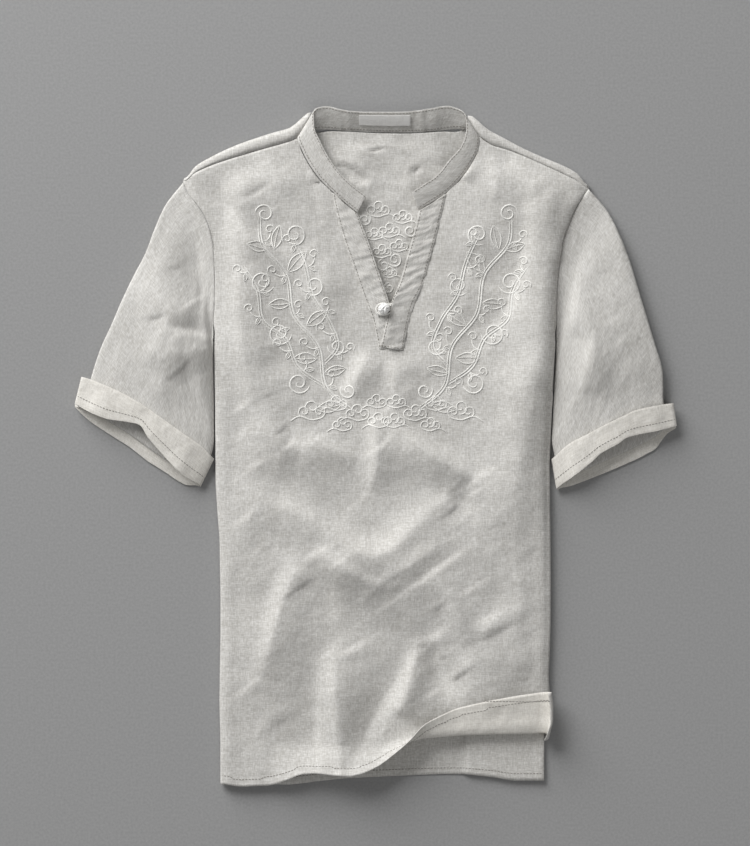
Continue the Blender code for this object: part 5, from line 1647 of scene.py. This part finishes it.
def studio():
    """The board under the shirt, the lights aimed at it and a weak even sky."""
    bpy.ops.mesh.primitive_plane_add(size=12.0, location=(0, 0, -0.0004))
    floor = bpy.context.object
    floor.name = "floor_board"
    floor.data.materials.append(floor_material())
    bpy.context.scene.view_settings.view_transform = "Standard"
    for name, place, size, energy in LIGHTS:
        data = bpy.data.lights.new(name, "AREA")
        data.shape = "SQUARE"
        data.size = size
        data.energy = energy
        light = link_to_scene(name, data)
        light.location = place
        light.rotation_euler = (-Vector(place)).to_track_quat("-Z", "Y").to_euler()
    sky = bpy.data.worlds.new("studio")
    sky.use_nodes = True
    background = sky.node_tree.nodes["Background"]
    background.inputs["Color"].default_value = (1.0, 1.0, 1.0, 1.0)
    background.inputs["Strength"].default_value = SKY
    bpy.context.scene.world = sky


main_camera()
linen = cloth_material("linen", LINEN)
cream = cloth_material("linen_turned", CREAM)
tape = cloth_material("label_weave", TAPE, roughness=0.6, bump=0.15)
thread = thread_material("embroidery_thread", THREAD)
# The stitches' material is darkened past the thread's own colour to paint in the shade of seam grooves and
# stitch holes.
stitch_and_seam_shade = thread_material("sewing_thread_and_seam_shade", STITCH_AND_GROOVE_SHADE, roughness=0.7)
knot_cord = thread_material("knot_cord", KNOT_CORD, roughness=0.5, twist=900.0)

front, front_panel, front_control_grid, middle, inner = front_piece(linen, cream)
back, back_panel, strip_row, back_control_grid = back_piece(front_control_grid, middle, linen)
sleeves = {}
cuffs = {}
cuff_grids = {}
plackets = {}
placket_grids = {}
for side in (-1, 1):
    sleeves[side] = sleeve_piece(side, front_control_grid, back_control_grid, middle, inner, linen)
    cuffs[side], cuff_grids[side] = cuff_piece(side, cream)
    plackets[side], placket_grids[side] = placket_piece(front_control_grid, middle, side, linen)
collar, collar_grid, sections = collar_piece(linen)
label = label_piece(sections, tape)
knot = knot_piece(knot_cord)
loop = loop_piece(thread)
studio()

BOTH = (1, -1)
front_stitches = stitches_piece("front_stitches", [(*front_panel.hem_path(), BOTH, SHELL)], stitch_and_seam_shade)
back_seams = [(*back_panel.shoulder_path(side, strip_row), (1,), SHELL) for side in (-1, 1)]
back_stitches = stitches_piece("back_stitches", [(*back_panel.hem_path(), BOTH, SHELL), *back_seams], stitch_and_seam_shade)
band_edges = (1, collar_grid.shape[1] - 2)
band_seams = [(*edge_path(collar_grid, column=k), BOTH, THICK_SHELL) for k in band_edges]
collar_stitches = stitches_piece("collar_stitches", band_seams, stitch_and_seam_shade)
sewn = {}
for side, word in SIDE_WORDS.items():
    rim = (*edge_path(cuff_grids[side], row=CUFF_SEAM_ROW), BOTH, THICK_SHELL)
    sewn[f"cuff_{word}"] = stitches_piece(f"cuff_{word}_stitches", [rim], stitch_and_seam_shade)
    seams = [edge_path(placket_grids[side], column=k) for k in PLACKET_SEAMS]
    if side > 0:
        grid = placket_grids[side]
        seams.append((grid[-2], normals_of(grid)[-2]))
    seams = [(*seam, (side,), PLACKET) for seam in seams]
    sewn[f"placket_{word}"] = stitches_piece(f"placket_{word}_stitches", seams, stitch_and_seam_shade)

front_tree = front_panel.tree()
embroidery = {
    side: embroidery_piece(f"embroidery_{word}", front_tree, scroll_lines(side), thread)
    for side, word in SIDE_WORDS.items()
}
back_lines = []
for x, y, size in BACK_CLOUDS:
    back_lines += cloud(x, y, size, 1)
for x, y, radius, turns, start, hand in BACK_SCROLLS:
    back_lines.append((spiral((x, y), radius, turns, start, hand), 2.0))
back_embroidery = embroidery_piece("embroidery_inside", back_panel.tree(), back_lines, thread)

for piece, cad_node, slot in (
    (front, "front", "linen"),
    (back, "back", "linen"),
    (sleeves[-1], "sleeve_left", "linen"),
    (sleeves[1], "sleeve_right", "linen"),
    (cuffs[-1], "cuff_left", "linen_turned"),
    (cuffs[1], "cuff_right", "linen_turned"),
    (plackets[-1], "placket_left", "linen"),
    (plackets[1], "placket_right", "linen"),
    (collar, "collar", "linen"),
    (label, "label", "tape"),
    (knot, "knot_button", "cord"),
    (loop, "button_loop", "cord"),
):
    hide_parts(cad_node)

front_work = [front_stitches, *embroidery.values()]
# piece, cut's width and length, its flat area, how it is held, what it lies on, what is sewn to it
for piece, flat, area, held, below, sewn_on in (
    (front, (0.52, 0.70), 0.288, "laid", ["back_panel", "floor_board"], front_work),
    (back, (0.55, 0.71), 0.304, "laid", ["floor_board"], [back_stitches, back_embroidery]),
    (sleeves[-1], (0.37, 0.26), 0.055, "laid", ["floor_board"], []),
    (sleeves[1], (0.36, 0.265), 0.0525, "laid", ["floor_board"], []),
    (cuffs[-1], (0.35, 0.047), 0.0123, "folded", ["sleeve_left_cloth"], [sewn["cuff_left"]]),
    (cuffs[1], (0.31, 0.048), 0.0102, "folded", ["sleeve_right_cloth"], [sewn["cuff_right"]]),
    (plackets[-1], (0.024, 0.175), 0.0034, "laid", ["front_panel"], [sewn["placket_left"]]),
    (plackets[1], (0.024, 0.178), 0.0038, "laid", ["front_panel"], [sewn["placket_right"]]),
    (collar, (0.41, 0.029), 0.0082, "folded", ["front_panel", "back_panel"], [collar_stitches]),
    (label, (0.054, 0.012), 0.00063, "laid", ["collar_band"], []),
):
    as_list(below)
    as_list(sewn_on)
